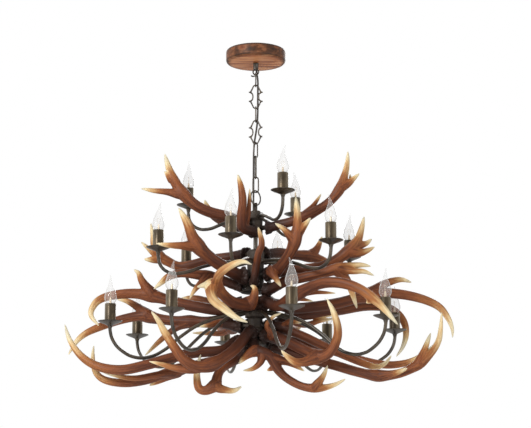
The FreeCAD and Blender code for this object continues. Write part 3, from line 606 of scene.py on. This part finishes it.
# ---- candle arms ----
# Round steel arms that leave the hub sockets, sag and turn up into the drip pans, with a small
# collar there. Bent tube, painted dark bronze.
arm_radius = 0.0048
arm_start = 33
collar_foot = 0.0049
collar_top = 0.0068
sleeve_and_pan = 62  # millimetres from a sleeve's top down to the foot of its pan
for tier, (_, ring_radius, _, sleeve_top, exit_height, bends) in tiers.items():
    foot = sleeve_top - sleeve_and_pan
    profile = [(arm_start, exit_height), *bends, (ring_radius, foot - 9), (ring_radius, foot + 1)]
    parts = []
    for bearing in bearings(tier):
        parts.append(bent_wire([out(bearing, r, z) for r, z in profile], arm_radius))
        parts.append(spoke(out(bearing, ring_radius, foot - 7),
                           out(bearing, ring_radius, foot + 0.5), collar_foot, collar_top, 28))
    finished(joined(parts), tier + "_candle_arms", "fixture", bronze, "bronze_paint",
             tier + "_arms")


# ---- drip pans ----
# Shallow dish under every candle, with a rolled rim. Spun from sheet steel, painted dark bronze.
# Like the sleeves and bulbs it is made round the origin, its sleeve's top at height zero.
turn_each = 2.4  # radians from one copy to the next, so that no two show the same side


def at_candles(piece, name, finish, slot, *nodes):
    """Copies of a piece at all the candles, as one object."""
    copies = []
    for tier, (_, ring_radius, _, sleeve_top, _, _) in tiers.items():
        for bearing in bearings(tier):
            only(piece)
            bpy.ops.object.duplicate()
            copy = bpy.context.object
            copy.data.transform(Matrix.Translation(out(bearing, ring_radius, sleeve_top))
                                @ Matrix.Rotation(turn_each * len(copies), 4, "Z"))
            copies.append(copy)
    bpy.data.objects.remove(piece)
    finished(joined(copies), name, "fixture", finish, slot, *nodes)


pan = lathe([(0, -0.0618), (0.0068, -0.0618), (0.0085, -0.0605), (0.016, -0.0572), (0.027, -0.0530),
             (0.0325, -0.0503), (0.0338, -0.0496), (0.0343, -0.0488), (0.0339, -0.0481),
             (0.0330, -0.0480), (0.0320, -0.0487), (0.026, -0.0508), (0.0215, -0.0524),
             (0.0185, -0.0529), (0.017, -0.0529), (0, -0.0529)], 64)
at_candles(pan, "candle_drip_pans", bronze, "bronze_paint", "drip_pans")


# ---- candle sleeves ----
# Straight tube round each lampholder, standing in its pan. Thin rolled steel, painted dark bronze
# with a fine upright brushing. A painted reflection makes it paler where it turns away from the
# eye.
sleeve_foot = -0.053
sleeve_radius = 0.0155
sleeve_bore = 0.0139
sleeve_edge = -0.0006
sleeve = lathe([(sleeve_radius, sleeve_foot), (sleeve_radius, sleeve_edge),
                (sleeve_radius - 0.0004, 0), (sleeve_bore + 0.0004, 0),
                (sleeve_bore, sleeve_edge), (sleeve_bore, sleeve_foot)], 64, True)
brushed = Finish("brushed_bronze_painted_sheen")
streak = brushed.noise(1.0, 3, 0.6, (420, 420, 9))
cloud = brushed.noise(45, 3)
slant = brushed.node("LayerWeight", {}, {"Blend": 0.5}, 1)
tint = (streak * 0.5 + cloud * 0.5).ramp(0.35, 0.65)
# Painted reflection: where the tube turns away from the eye the base colour goes to the paler pair
# of bronzes, in place of the bright edges that lamps would give it.
brushed.set(Base_Color=slant.ramp(0.05, 0.45).mix(tint.mix(paint(46, 38, 27), paint(74, 62, 44)),
                                                  tint.mix(paint(84, 74, 58), paint(124, 112, 92))),
            Metallic=0.7, Roughness=streak.ramp(0.3, 0.7, 0.30, 0.44))
at_candles(sleeve, "candle_tubes", brushed, "bronze_paint", "candle_sleeves")


# ---- bulbs ----
# Clear glass candle bulb with a bent tip, its brass cap screwed into a holder inside the sleeve,
# and inside it a glass stem with two lead wires and a filament. Blown glass, bought in.
glass_height = 0.086
glass_radius = 0.0173
glass_foot = -0.006
outline = [  # shares of the height and of the radius
    (0, 0.42), (0.06, 0.52), (0.12, 0.76), (0.18, 0.93), (0.24, 1.0), (0.31, 0.99),
    (0.38, 0.92), (0.46, 0.80), (0.54, 0.66), (0.62, 0.50), (0.70, 0.35), (0.78, 0.24),
    (0.86, 0.165), (0.93, 0.12), (0.975, 0.08), (1.0, 0.0)]
tip_lean = 0.007
lean_start = 0.046
lean_length = glass_height + glass_foot - lean_start
glass = [(glass_radius * r, glass_foot + glass_height * t) for t, r in outline]
envelope = lathe([(0, glass_foot)] + glass, 48)
for v in envelope.data.vertices:
    v.co.x += tip_lean * max((v.co.z - lean_start) / lean_length, 0) ** 1.7
bpy.ops.object.shade_smooth()
clear = Finish("bulb_glass")
slant = clear.node("LayerWeight", {}, {"Blend": 0.5}, 1)
smear = clear.noise(60, 2)
clear.set(Base_Color=smear.mix((0.58, 0.57, 0.55), (0.72, 0.71, 0.69)),
          Alpha=slant.ramp(0.3, 1.0, 0.17, 0.88), IOR=1.5,
          Roughness=smear.ramp(0.3, 0.8, 0.01, 0.05))
at_candles(envelope, "bulb_envelopes", clear, "bulb_glass", "bulb_glass")
lead_wire = 0.0003
coil_width = 0.0104
coil_height = 0.030
coil_depth = 0.0005
coil_rise = 0.004
stem_root = 0.0042
stem_tip = 0.0020
mount = [spoke(Vector((0, 0, -0.004)), Vector((0, 0, 0.016)), stem_root, stem_tip, 16)]
for side in (-1, 1):
    lead_end = Vector((side * coil_width / 2, 0, coil_height))
    mount.append(spoke(Vector((side * 0.0012, 0, 0.014)), lead_end, lead_wire, lead_wire, 8))
coil = []
for i in range(25):
    share = i / 24
    coil.append(((share - 0.5) * coil_width, coil_depth * math.sin(share * 60),
                 coil_height + coil_rise * math.sin(share * math.pi)))
mount.append(bent_wire(coil, lead_wire))
lead = Finish("bulb_mount")
tint = lead.noise(300, 2)
lead.set(Base_Color=tint.mix(paint(190, 170, 140), paint(225, 205, 175)),
         Metallic=tint.ramp(0.2, 0.8, 0.1, 0.3), Roughness=tint.ramp(0.2, 0.8, 0.25, 0.4))
at_candles(joined(mount), "bulb_filaments", lead, "bulb_cap")
brass = Finish("bulb_cap_brass")
worn = brass.noise(300, 3)
brass.set(Base_Color=worn.mix(paint(176, 142, 84), paint(214, 184, 124)), Metallic=0.9,
          Roughness=worn.ramp(0.3, 0.7, 0.28, 0.45))
porcelain = Finish("lampholder_white")
speck = porcelain.noise(200, 3)
porcelain.set(Base_Color=speck.mix(paint(205, 203, 196), paint(226, 224, 216)),
              Roughness=speck.ramp(0.3, 0.7, 0.45, 0.6))
paint_kept(brass, "bulb_caps")
paint_kept(porcelain, "lampholders")


# ---- antlers ----
# Thirty-one branches in three tiers, each a bent beam with tines, a knobbed burr at its root and
# pale tips, set root first on a stud. Cast resin, stained brown and rubbed back at the tips.
resin = Finish("antler_resin")
antler_voxel = 0.0017
limb_step = 0.004
beam_taper = (1.0, 4.4, 0.7)  # girth, then how late a limb thins and how blunt it ends
tine_taper = (1.15, 2.2, 0.72)
burr_length = 0.014
burr_share = 0.42  # of the way from the root to the stud's start
fork_rise = 0.32
fork_reach = 0.024
tine_rise = 0.55
tine_reach = 0.027
tip_radius = 0.0021
tip_share = 0.015
groove_depth = 0.0007
fine_depth = 0.00035
rough_depth = 0.0016
rough_length = 0.075
knob_depth = 0.0028
knob_length = 0.017
tine_tone = 0.42
hub_reach = 14  # where the studs start, in millimetres from the axis
disc_reach = 26
roots = []


def limb_line(points, spacing):
    """A smooth line through points in millimetres: places along it, in metres, and their run."""
    points = [Vector(p) * 0.001 for p in points]
    ends = [points[0] * 2 - points[1]] + points + [points[-1] * 2 - points[-2]]
    line = []
    for a, b, c, d in zip(ends, ends[1:], ends[2:], ends[3:]):
        count = max(2, round((c - b).length / spacing))
        for k in range(count):
            t = k / count
            line.append(0.5 * (2 * b + (c - a) * t + (2 * a - 5 * b + 4 * c - d) * t * t
                               + (3 * b - a - 3 * c + d) * t * t * t))
    line.append(points[-1])
    run = [0.0]
    for a, b in zip(line, line[1:]):
        run.append(run[-1] + (b - a).length)
    return line, run


def thickness(radius, share, run, rooted, swell_by):
    """Radius of a limb, in metres, at a share of its length and a run from its root."""
    girth, late, blunt = beam_taper if rooted else tine_taper
    thick = (radius * girth * max(1 - share ** late, 0) ** blunt + 1.0) * 0.001 * (1 + swell_by)
    if rooted:
        thick *= 1 + 0.5 * max(0, 1 - (run / burr_length) ** 2)
    else:
        thick *= 1 + tine_rise * math.exp(-(run / tine_reach) ** 2)
    return max(thick, tip_radius * (1 - max(share - (1 - tip_share), 0) / tip_share * 0.5))


def stud_start(tier, root):
    """Where the iron stud of a root starts, in metres: inside its hub or in the closing disc."""
    low, high = {"upper": (-548, -494), "middle": (-708, -605), "lower": (-849, -748)}[tier]
    on_hub = root[2] > disc_top * 1000
    level = min(max(root[2], low), high) if on_hub else (disc_top + disc_bottom) * 500
    share = (hub_reach if on_hub else disc_reach) / math.hypot(root[0], root[1])
    return Vector((root[0] * share, root[1] * share, level)) * 0.001


def limb_tube(line, thick_at):
    """A tapering tube along a line, as a mesh."""
    curve = round_wire(1.0, 4)
    spline = curve.splines.new("POLY")
    spline.points.add(len(line) - 1)
    for knot, point, wide in zip(spline.points, line, thick_at):
        knot.co = (*point, 1)
        knot.radius = wide
    return as_mesh(curve)


def limb_samples(line, run, thick_at, number):
    """Places along a limb's middle, with their direction, a side that doesn't twist, and more."""
    samples = []
    side = None
    for i in range(len(line)):
        ahead = (line[min(i + 1, len(line) - 1)] - line[max(i - 1, 0)]).normalized()
        side = ahead.orthogonal() if side is None else side
        side = (side - ahead * side.dot(ahead)).normalized()
        samples.append((line[i], ahead, side.copy(), run[i], run[i] / run[-1], number, thick_at[i]))
    return samples


def ripple(spin, turns, along):
    """Noise round and along a limb."""
    return noise.noise(Vector((math.cos(spin) * turns, math.sin(spin) * turns, along)))


def weathered(body, samples, tones, seed):
    """Groove a limb's skin, knob its burr, and note on each vertex where it is for the stain."""
    tree = KDTree(len(samples))
    for i, sample in enumerate(samples):
        tree.insert(sample[0], i)
    tree.balance()
    moves, along, stain = [], [], []
    for v in body.data.vertices:
        nearest = min(tree.find_n(v.co, 3), key=lambda n: n[2] / samples[n[1]][6])[1]
        point, ahead, side, far, share, number, thick = samples[nearest]
        away = v.co - point
        far += away.dot(ahead)
        across, up = away.dot(side), away.dot(ahead.cross(side))
        spin = math.atan2(up, across)
        groove = ripple(spin, 2.6, far * 9 + number * 7 + seed)
        fine = ripple(spin, 6, far * 16 + number * 5 + seed)
        fade = max(0.0, 1 - share ** 1.5)
        depth = fade * (groove_depth * groove + fine_depth * fine) * min(1, thick / 0.009)
        rough = max(0.0, 1 - far / rough_length) if number == 0 else 0.0
        depth += rough * rough_depth * max(noise.noise(v.co * 150), -0.2)
        if number == 0 and far < knob_length:
            depth += knob_depth * ripple(spin, 3.4, far * 60 + seed)
        moves.append(depth)
        along.append((across, up, far + number * 0.31 + seed))
        stain.append((tones[number] + (1 - tones[number]) * share, rough, groove * 0.5 + 0.5))
    swell(body, moves)
    for name, values in (("grain", along), ("stain", stain)):
        kept = body.data.attributes.new(name, "FLOAT_VECTOR", "POINT")
        kept.data.foreach_set("vector", [c for value in values for c in value])


def antler(name, radius, beam, *tines):
    """Grow one antler from its root. A limb is a radius and points, in millimetres."""
    node = name + "_antler"
    inner = stud_start(name.split("_")[0], beam[0])
    roots.append((inner, Vector(beam[0]) * 0.001))
    burr = [at + (inward * 1000 - at) * burr_share for at, inward in zip(beam[0], inner)]
    parts, samples, tones = [], [], [0.0]
    for number, (thick, points) in enumerate([(radius, [burr] + beam), *tines]):
        line, run = limb_line(points, limb_step)
        rooted = number == 0
        forks = []
        if rooted:
            for tine_radius, tine in tines:
                start = Vector(tine[0]) * 0.001
                spot = run[min(range(len(line)), key=lambda i: (line[i] - start).length)]
                forks.append((spot, fork_rise * min(1, tine_radius / 8)))
                tones.append(max(tine_tone, 0.9 * spot / run[-1]))
        thick_at = []
        for far in run:
            rises = [rise * math.exp(-((far - spot) / fork_reach) ** 2) for spot, rise in forks]
            thick_at.append(thickness(thick, far / run[-1], far, rooted, max(rises, default=0)))
        parts.append(limb_tube(line, thick_at))
        samples += limb_samples(line, run, thick_at, number)
    body = melted(parts, antler_voxel, 4)
    weathered(body, samples, tones, sum(ord(c) for c in node) * 0.37)
    finished(body, name + "_branch", "fixture", resin, "antler_resin", node)


antler("upper_left", 15, [(-44, -20, -516), (-78, -36, -504), (-130, -46, -492), (-172, -52, -472),
    (-210, -56, -436), (-234, -58, -398), (-248, -58, -364), (-260, -58, -324)],
    (8, [(-214, -56, -442), (-254, -62, -436), (-288, -66, -434), (-326, -68, -428)]),
    (4, [(-240, -58, -406), (-252, -64, -388), (-260, -66, -376)]))
antler("upper_back_left", 14, [(-32, 36, -522), (-78, 64, -506), (-124, 100, -472),
    (-144, 124, -442), (-152, 136, -418)])
antler("upper_right", 13, [(44, -14, -530), (68, -22, -524), (106, -32, -516), (158, -44, -496),
    (206, -56, -468), (238, -60, -430), (254, -62, -388), (262, -64, -350), (264, -64, -318)],
    (8, [(240, -60, -424), (264, -64, -412), (278, -66, -400), (296, -68, -384)]),
    (4, [(258, -60, -414), (270, -52, -400), (270, -50, -382)]),
    (6, [(140, -42, -500), (166, -36, -470), (188, -34, -436)]))
antler("upper_front", 12, [(-10, -42, -546), (-36, -62, -538), (-40, -80, -510), (-36, -90, -472),
    (-40, -92, -432), (-50, -92, -392)],
    (6, [(-32, -56, -534), (-20, -72, -496), (-16, -80, -430)]))
antler("middle_front_left", 17, [(-46, -30, -672), (-82, -64, -658), (-124, -96, -634),
    (-156, -118, -608), (-174, -130, -580), (-188, -136, -544), (-202, -136, -518),
    (-214, -138, -498)],
    (9, [(-166, -122, -604), (-204, -140, -606), (-238, -148, -606), (-274, -152, -602)]))
antler("middle_front_right", 14, [(44, -36, -668), (66, -96, -662), (90, -132, -636),
    (108, -156, -602), (116, -164, -560), (116, -170, -516), (112, -172, -472)],
    (9, [(110, -158, -582), (132, -164, -558), (154, -168, -532)]),
    (8, [(108, -156, -594), (88, -172, -574), (72, -182, -562), (54, -190, -552)]),
    (9, [(46, -76, -666), (50, -104, -680), (72, -118, -718)]))
antler("middle_front_spike", 10, [(-4, -44, -690), (2, -58, -650), (8, -74, -618), (18, -80, -588),
    (8, -82, -542)])
antler("middle_right", 15, [(54, 6, -658), (92, -12, -656), (142, -42, -656), (190, -54, -650),
    (232, -60, -630), (266, -64, -604), (288, -64, -578), (300, -64, -544), (308, -66, -508)],
    (8, [(278, -64, -596), (302, -56, -588), (316, -52, -582), (330, -50, -570)]),
    (9, [(264, -62, -610), (294, -72, -614), (316, -76, -608), (336, -78, -598)]))
antler("middle_low_right", 14, [(42, -32, -712), (86, -68, -694), (136, -98, -688),
    (186, -118, -680), (230, -130, -668), (268, -136, -662), (296, -138, -660), (320, -140, -664)],
    (8, [(230, -130, -668), (268, -146, -678), (300, -150, -680), (328, -152, -692)]),
    (9, [(226, -128, -672), (254, -118, -698), (270, -112, -738), (282, -110, -778)]))
antler("middle_back_right", 14, [(34, 36, -598), (68, 66, -590), (106, 84, -592), (148, 108, -592),
    (186, 124, -598), (222, 134, -610), (252, 140, -604)],
    (9, [(156, 112, -594), (180, 122, -568), (196, 126, -530)]))
antler("middle_back_left", 14, [(-36, 36, -600), (-78, 62, -604), (-130, 80, -608),
    (-184, 94, -620), (-224, 100, -624), (-260, 100, -608), (-294, 98, -588), (-316, 96, -570),
    (-336, 96, -552)],
    (8, [(-278, 100, -600), (-302, 90, -606), (-326, 84, -606)]),
    (8, [(-274, 100, -602), (-296, 78, -568), (-300, 68, -538), (-306, 62, -502)]))
antler("middle_left", 13, [(-52, 10, -696), (-96, 4, -680), (-132, -6, -672), (-174, -14, -666),
    (-214, -20, -664), (-248, -26, -676), (-268, -30, -694), (-288, -34, -712)],
    (8, [(-136, -8, -672), (-156, -44, -698), (-172, -66, -722), (-184, -76, -746)]))
antler("lower_front", 15, [(-6, -56, -752), (-34, -96, -764), (-66, -144, -762), (-92, -196, -746),
    (-110, -228, -726), (-132, -246, -732), (-156, -258, -740)],
    (11, [(-106, -214, -736), (-94, -280, -708), (-60, -298, -686), (-32, -302, -678),
     (-8, -302, -686)]),
    (11, [(-118, -234, -728), (-114, -262, -770), (-82, -272, -800), (-50, -276, -824),
     (-18, -278, -838)]),
    (11, [(-18, -76, -762), (-4, -98, -744), (-2, -106, -720), (-14, -108, -712)]))
antler("lower_left_high", 15, [(-60, -2, -750), (-96, 0, -766), (-158, 4, -758), (-230, 12, -742),
    (-290, 18, -724), (-348, 22, -716), (-402, 22, -720), (-442, 20, -732), (-462, 16, -752),
    (-468, 12, -780), (-444, 4, -812)],
    (11, [(-296, 18, -722), (-324, 10, -682), (-334, 4, -660), (-348, 0, -650)]))
antler("lower_left_back", 14, [(-56, 10, -812), (-96, 16, -798), (-158, 34, -796), (-222, 50, -792),
    (-276, 64, -784), (-324, 70, -774), (-368, 70, -780), (-410, 68, -792), (-450, 62, -808),
    (-486, 56, -826), (-512, 50, -850), (-534, 42, -890)],
    (10, [(-310, 68, -774), (-346, 82, -744), (-374, 90, -728), (-404, 96, -722)]),
    (8, [(-188, 42, -796), (-228, 50, -812), (-270, 46, -846), (-316, 44, -892)]),
    (7, [(-96, 16, -798), (-126, -4, -810), (-160, -14, -816)]))
antler("lower_left_front", 14, [(-60, -26, -860), (-92, -62, -888), (-166, -92, -898),
    (-234, -116, -916), (-290, -132, -934), (-356, -140, -950), (-410, -138, -946),
    (-452, -130, -930), (-486, -120, -902), (-512, -110, -864), (-528, -100, -820)])
antler("lower_left_bottom", 13, [(-50, 24, -892), (-116, -14, -912), (-182, -44, -932),
    (-246, -58, -952), (-306, -68, -972), (-360, -74, -980), (-410, -76, -974), (-438, -72, -956),
    (-450, -68, -926), (-452, -64, -898), (-450, -62, -874)],
    (8, [(-226, -54, -946), (-276, -88, -960), (-330, -104, -970), (-380, -110, -964),
     (-424, -112, -952)]),
    (11, [(-216, -50, -942), (-254, -40, -962), (-296, -34, -984)]))
antler("lower_front_left", 15, [(-20, -54, -838), (-44, -90, -874), (-72, -128, -906),
    (-114, -160, -936), (-154, -180, -946), (-190, -196, -930), (-216, -204, -898),
    (-242, -212, -858), (-260, -216, -826), (-280, -220, -800)],
    (9, [(-120, -162, -938), (-166, -160, -952), (-214, -156, -948), (-256, -152, -936),
     (-290, -150, -928)]))
antler("lower_hook", 12, [(-34, -34, -896), (-56, -42, -914), (-90, -76, -938), (-104, -104, -966),
    (-104, -112, -994), (-82, -112, -1002), (-58, -110, -1004), (-36, -108, -992)],
    (10, [(-104, -110, -986), (-134, -114, -1004), (-154, -114, -998), (-160, -112, -970),
     (-158, -110, -936), (-150, -106, -904)]))
antler("lower_arch", 11, [(-8, -54, -870), (2, -74, -888), (22, -85, -897), (44, -84, -910),
    (66, -90, -948), (94, -100, -974), (134, -112, -994), (178, -120, -998), (216, -126, -990),
    (248, -130, -974)],
    (7, [(20, -84, -898), (14, -88, -924), (-6, -90, -942), (-34, -92, -948)]),
    (9, [(4, -76, -890), (-12, -86, -898), (-30, -92, -912), (-46, -96, -930)]),
    (8, [(52, -84, -914), (90, -84, -924), (116, -82, -936), (136, -80, -948)]),
    (7, [(164, -120, -996), (186, -136, -966), (198, -146, -938)]),
    (5, [(58, -88, -934), (46, -78, -940), (32, -72, -946)]))
antler("lower_curl", 14, [(38, -42, -846), (82, -86, -864), (132, -130, -894), (174, -168, -916),
    (204, -192, -906), (222, -204, -870), (222, -210, -834), (210, -212, -796), (194, -214, -764)],
    (11, [(172, -166, -916), (138, -180, -932), (110, -188, -934), (88, -192, -920),
     (70, -194, -902)]),
    (6, [(58, -58, -854), (32, -86, -824), (48, -96, -800), (74, -100, -788)]))
antler("lower_right_middle", 12, [(54, -16, -812), (92, -36, -828), (138, -54, -850),
    (194, -64, -878), (250, -70, -904), (296, -72, -924), (334, -76, -936), (360, -76, -926),
    (378, -80, -904)],
    (7, [(80, -32, -824), (98, -30, -804), (132, -26, -806)]))
antler("lower_right_front", 13, [(52, -24, -880), (96, -62, -894), (158, -90, -916),
    (216, -112, -934), (276, -130, -954), (336, -140, -966), (394, -144, -960), (442, -144, -938),
    (478, -142, -908), (502, -138, -872), (510, -136, -834), (514, -132, -790)],
    (8, [(336, -140, -966), (374, -160, -962), (414, -168, -948)]),
    (8, [(448, -144, -934), (466, -140, -890), (482, -136, -848)]))
antler("lower_right_back", 12, [(54, 14, -850), (98, 30, -852), (170, 24, -866), (240, 14, -888),
    (310, 0, -912), (372, -16, -924), (428, -30, -918), (472, -44, -896), (500, -56, -870)])
antler("lower_right_high", 15, [(60, 14, -748), (104, 26, -758), (170, 36, -752), (242, 40, -740),
    (306, 44, -722), (358, 42, -712), (404, 40, -714), (450, 38, -722), (494, 34, -736),
    (528, 30, -756), (550, 24, -788), (560, 20, -818), (560, 16, -844)],
    (11, [(318, 44, -720), (358, 46, -692), (394, 48, -676), (422, 48, -672), (450, 48, -680)]))
antler("lower_right_rear", 14, [(42, 32, -810), (100, 68, -780), (172, 98, -764), (246, 124, -750),
    (320, 140, -736), (380, 150, -738), (414, 152, -754), (436, 154, -784), (440, 152, -820),
    (430, 152, -854), (410, 148, -884)],
    (8, [(88, 62, -782), (140, 84, -798), (186, 104, -784), (228, 116, -776)]))
antler("lower_front_right", 15, [(32, -56, -752), (64, -94, -768), (106, -140, -748),
    (148, -184, -730), (190, -220, -722), (234, -250, -728), (276, -276, -746), (308, -290, -770),
    (340, -300, -802), (378, -308, -848)],
    (5, [(124, -158, -742), (172, -150, -738), (222, -146, -740)]),
    (4, [(106, -140, -750), (138, -132, -756), (160, -128, -760)]),
    (5, [(312, -292, -774), (304, -284, -782), (296, -280, -786)]))
antler("lower_back_left", 15, [(-40, 44, -752), (-76, 66, -754), (-124, 92, -738),
    (-166, 110, -722), (-194, 116, -718), (-228, 120, -720)])
antler("lower_rear_left", 16, [(-30, 44, -812), (-54, 90, -800), (-58, 150, -794), (-78, 220, -790),
    (-100, 300, -784), (-120, 370, -760), (-126, 400, -734)],
    (8, [(-68, 190, -792), (-102, 230, -804), (-146, 250, -802), (-192, 262, -800)]))
antler("lower_rear_right", 16, [(6, 56, -812), (18, 96, -800), (30, 150, -800), (56, 220, -800),
    (96, 300, -790), (128, 370, -768), (144, 410, -742)],
    (8, [(42, 190, -800), (108, 240, -812), (148, 270, -806)]))
antler("lower_rear", 17, [(22, 51, -860), (18, 100, -864), (10, 170, -864), (2, 240, -850),
    (-8, 310, -836), (-14, 370, -806), (-16, 410, -770), (-16, 430, -730)],
    (9, [(3, 230, -851), (30, 270, -862), (60, 300, -850), (84, 320, -820)]),
    (9, [(-8, 310, -836), (-36, 340, -840), (-60, 366, -826), (-74, 380, -800)]))

where = resin.node("Attribute", {"attribute_name": "grain"}, out=1)
tone = resin.node("Attribute", {"attribute_name": "stain"}, out=1)
share, rough, groove = [resin.node("SeparateXYZ", {}, {0: tone}, i) for i in range(3)]
fibre = resin.noise(1.0, 4, 0.6, (420, 420, 26), where=where)
streak = resin.noise(1.0, 3, 0.55, (110, 110, 8), where=where)
cloud = resin.noise(11, 3)
drift = share + (streak - 0.5) * 0.20 + (cloud - 0.5) * 0.22
colour = resin.stops(drift, (0.0, 32, 20, 15), (0.08, 62, 34, 22), (0.3, 106, 57, 33),
                     (0.70, 136, 78, 44), (0.81, 164, 106, 60), (0.875, 208, 170, 118),
                     (0.94, 230, 212, 170), (1.0, 214, 204, 176))
valley = groove.ramp(0.25, 0.6, 0.62, 0.0) + fibre.ramp(0.35, 0.62, 0.6, 0.0)
dark = (valley * share.ramp(0.5, 0.95, 1.0, 0.25)).maths("MINIMUM", 0.85)
burr = (rough * 0.9).maths("MINIMUM", 0.9)
resin.set(Base_Color=burr.mix(dark.mix(colour, paint(70, 37, 25)), paint(38, 24, 19)),
          Roughness=fibre.ramp(0.3, 0.7, 0.40, 0.62), Specular_IOR_Level=0.22)
resin.bump(fibre * 0.55 + streak * 0.45, 0.4, 0.0012)


# ---- antler studs ----
# Short tapered iron bars from the hubs into the burrs, one for each antler. Cast with the hubs.
stud_root = 0.0075
stud_tip = 0.0062
bars = [spoke(inner, root, stud_root, stud_tip, 16) for inner, root in roots]
finished(cast(bars), "antler_stud_bars", "fixture", iron, "cast_hub")


# ---- studio ----
# Long lens a little below the fixture, looking up at it. Pale floor far below, white behind, soft
# lamps from the front left, the right and above.
bpy.ops.object.camera_add(location=(0.0284, -4.384, -1.3683), rotation=(math.radians(101.35), 0, 0))
camera = bpy.context.object
camera.name = "view_camera"
camera.data.sensor_width = 36
camera.data.lens = 105.4
camera.data.clip_end = 60
scene.camera = camera

# The backdrop is white as it is seen, in mirrors too, and lights the fixture less than it shines.
light_of_sky = 0.4
sky = Finish("studio_world", bpy.data.worlds, "Background")
scene.world = sky.material
looked_at = sky.node("LightPath", out="Is Camera Ray")
for ray in ("Is Transmission Ray", "Is Glossy Ray"):
    looked_at = looked_at.maths("MAXIMUM", sky.node("LightPath", out=ray))
sky.set(Color=(1, 1, 1), Strength=sky.node("MapRange", {}, {
    "Value": looked_at, "To Min": light_of_sky, "To Max": 1.0}))

for lamp_name, spot, aim, size, power in (
        ("key_lamp", (-2.6, -3.2, 0.9), (0, 0, -0.7), 1.3, 142),
        ("fill_lamp", (3.0, -2.6, -0.4), (0, 0, -0.7), 2.0, 38),
        ("rear_lamp", (0.6, 3.0, 0.8), (0, 0, -0.6), 1.8, 60),
        ("low_lamp", (-0.8, -2.4, -2.2), (0, 0, -0.8), 1.6, 22)):
    bpy.ops.object.light_add(type="AREA", location=spot)
    lamp = bpy.context.object
    lamp.name = lamp_name
    lamp.data.energy = power
    lamp.data.size = size
    lamp.rotation_euler = (Vector(aim) - Vector(spot)).to_track_quat("-Z", "Y").to_euler()

# The floor glows a little for the camera, so that it is as pale as the backdrop, and can be looked
# through from below.
bpy.ops.mesh.primitive_plane_add(size=14, location=(0, 0, -2.3))
floor = bpy.context.object
floor.name = "studio_floor"
matt = Finish("studio_floor")
matt.set(Base_Color=(0.9, 0.9, 0.9), Roughness=0.9, Emission_Color=(1, 1, 1),
         Emission_Strength=matt.node("LightPath", out="Is Camera Ray") * 0.5)
both = matt.node("MixShader", {}, [
    matt.node("NewGeometry", out="Backfacing"), Wire(matt, matt.surface.outputs[0]),
    matt.node("BsdfTransparent")])
matt.feed(matt.tree.nodes["Material Output"].inputs["Surface"], both)
floor.data.materials.append(matt.material)
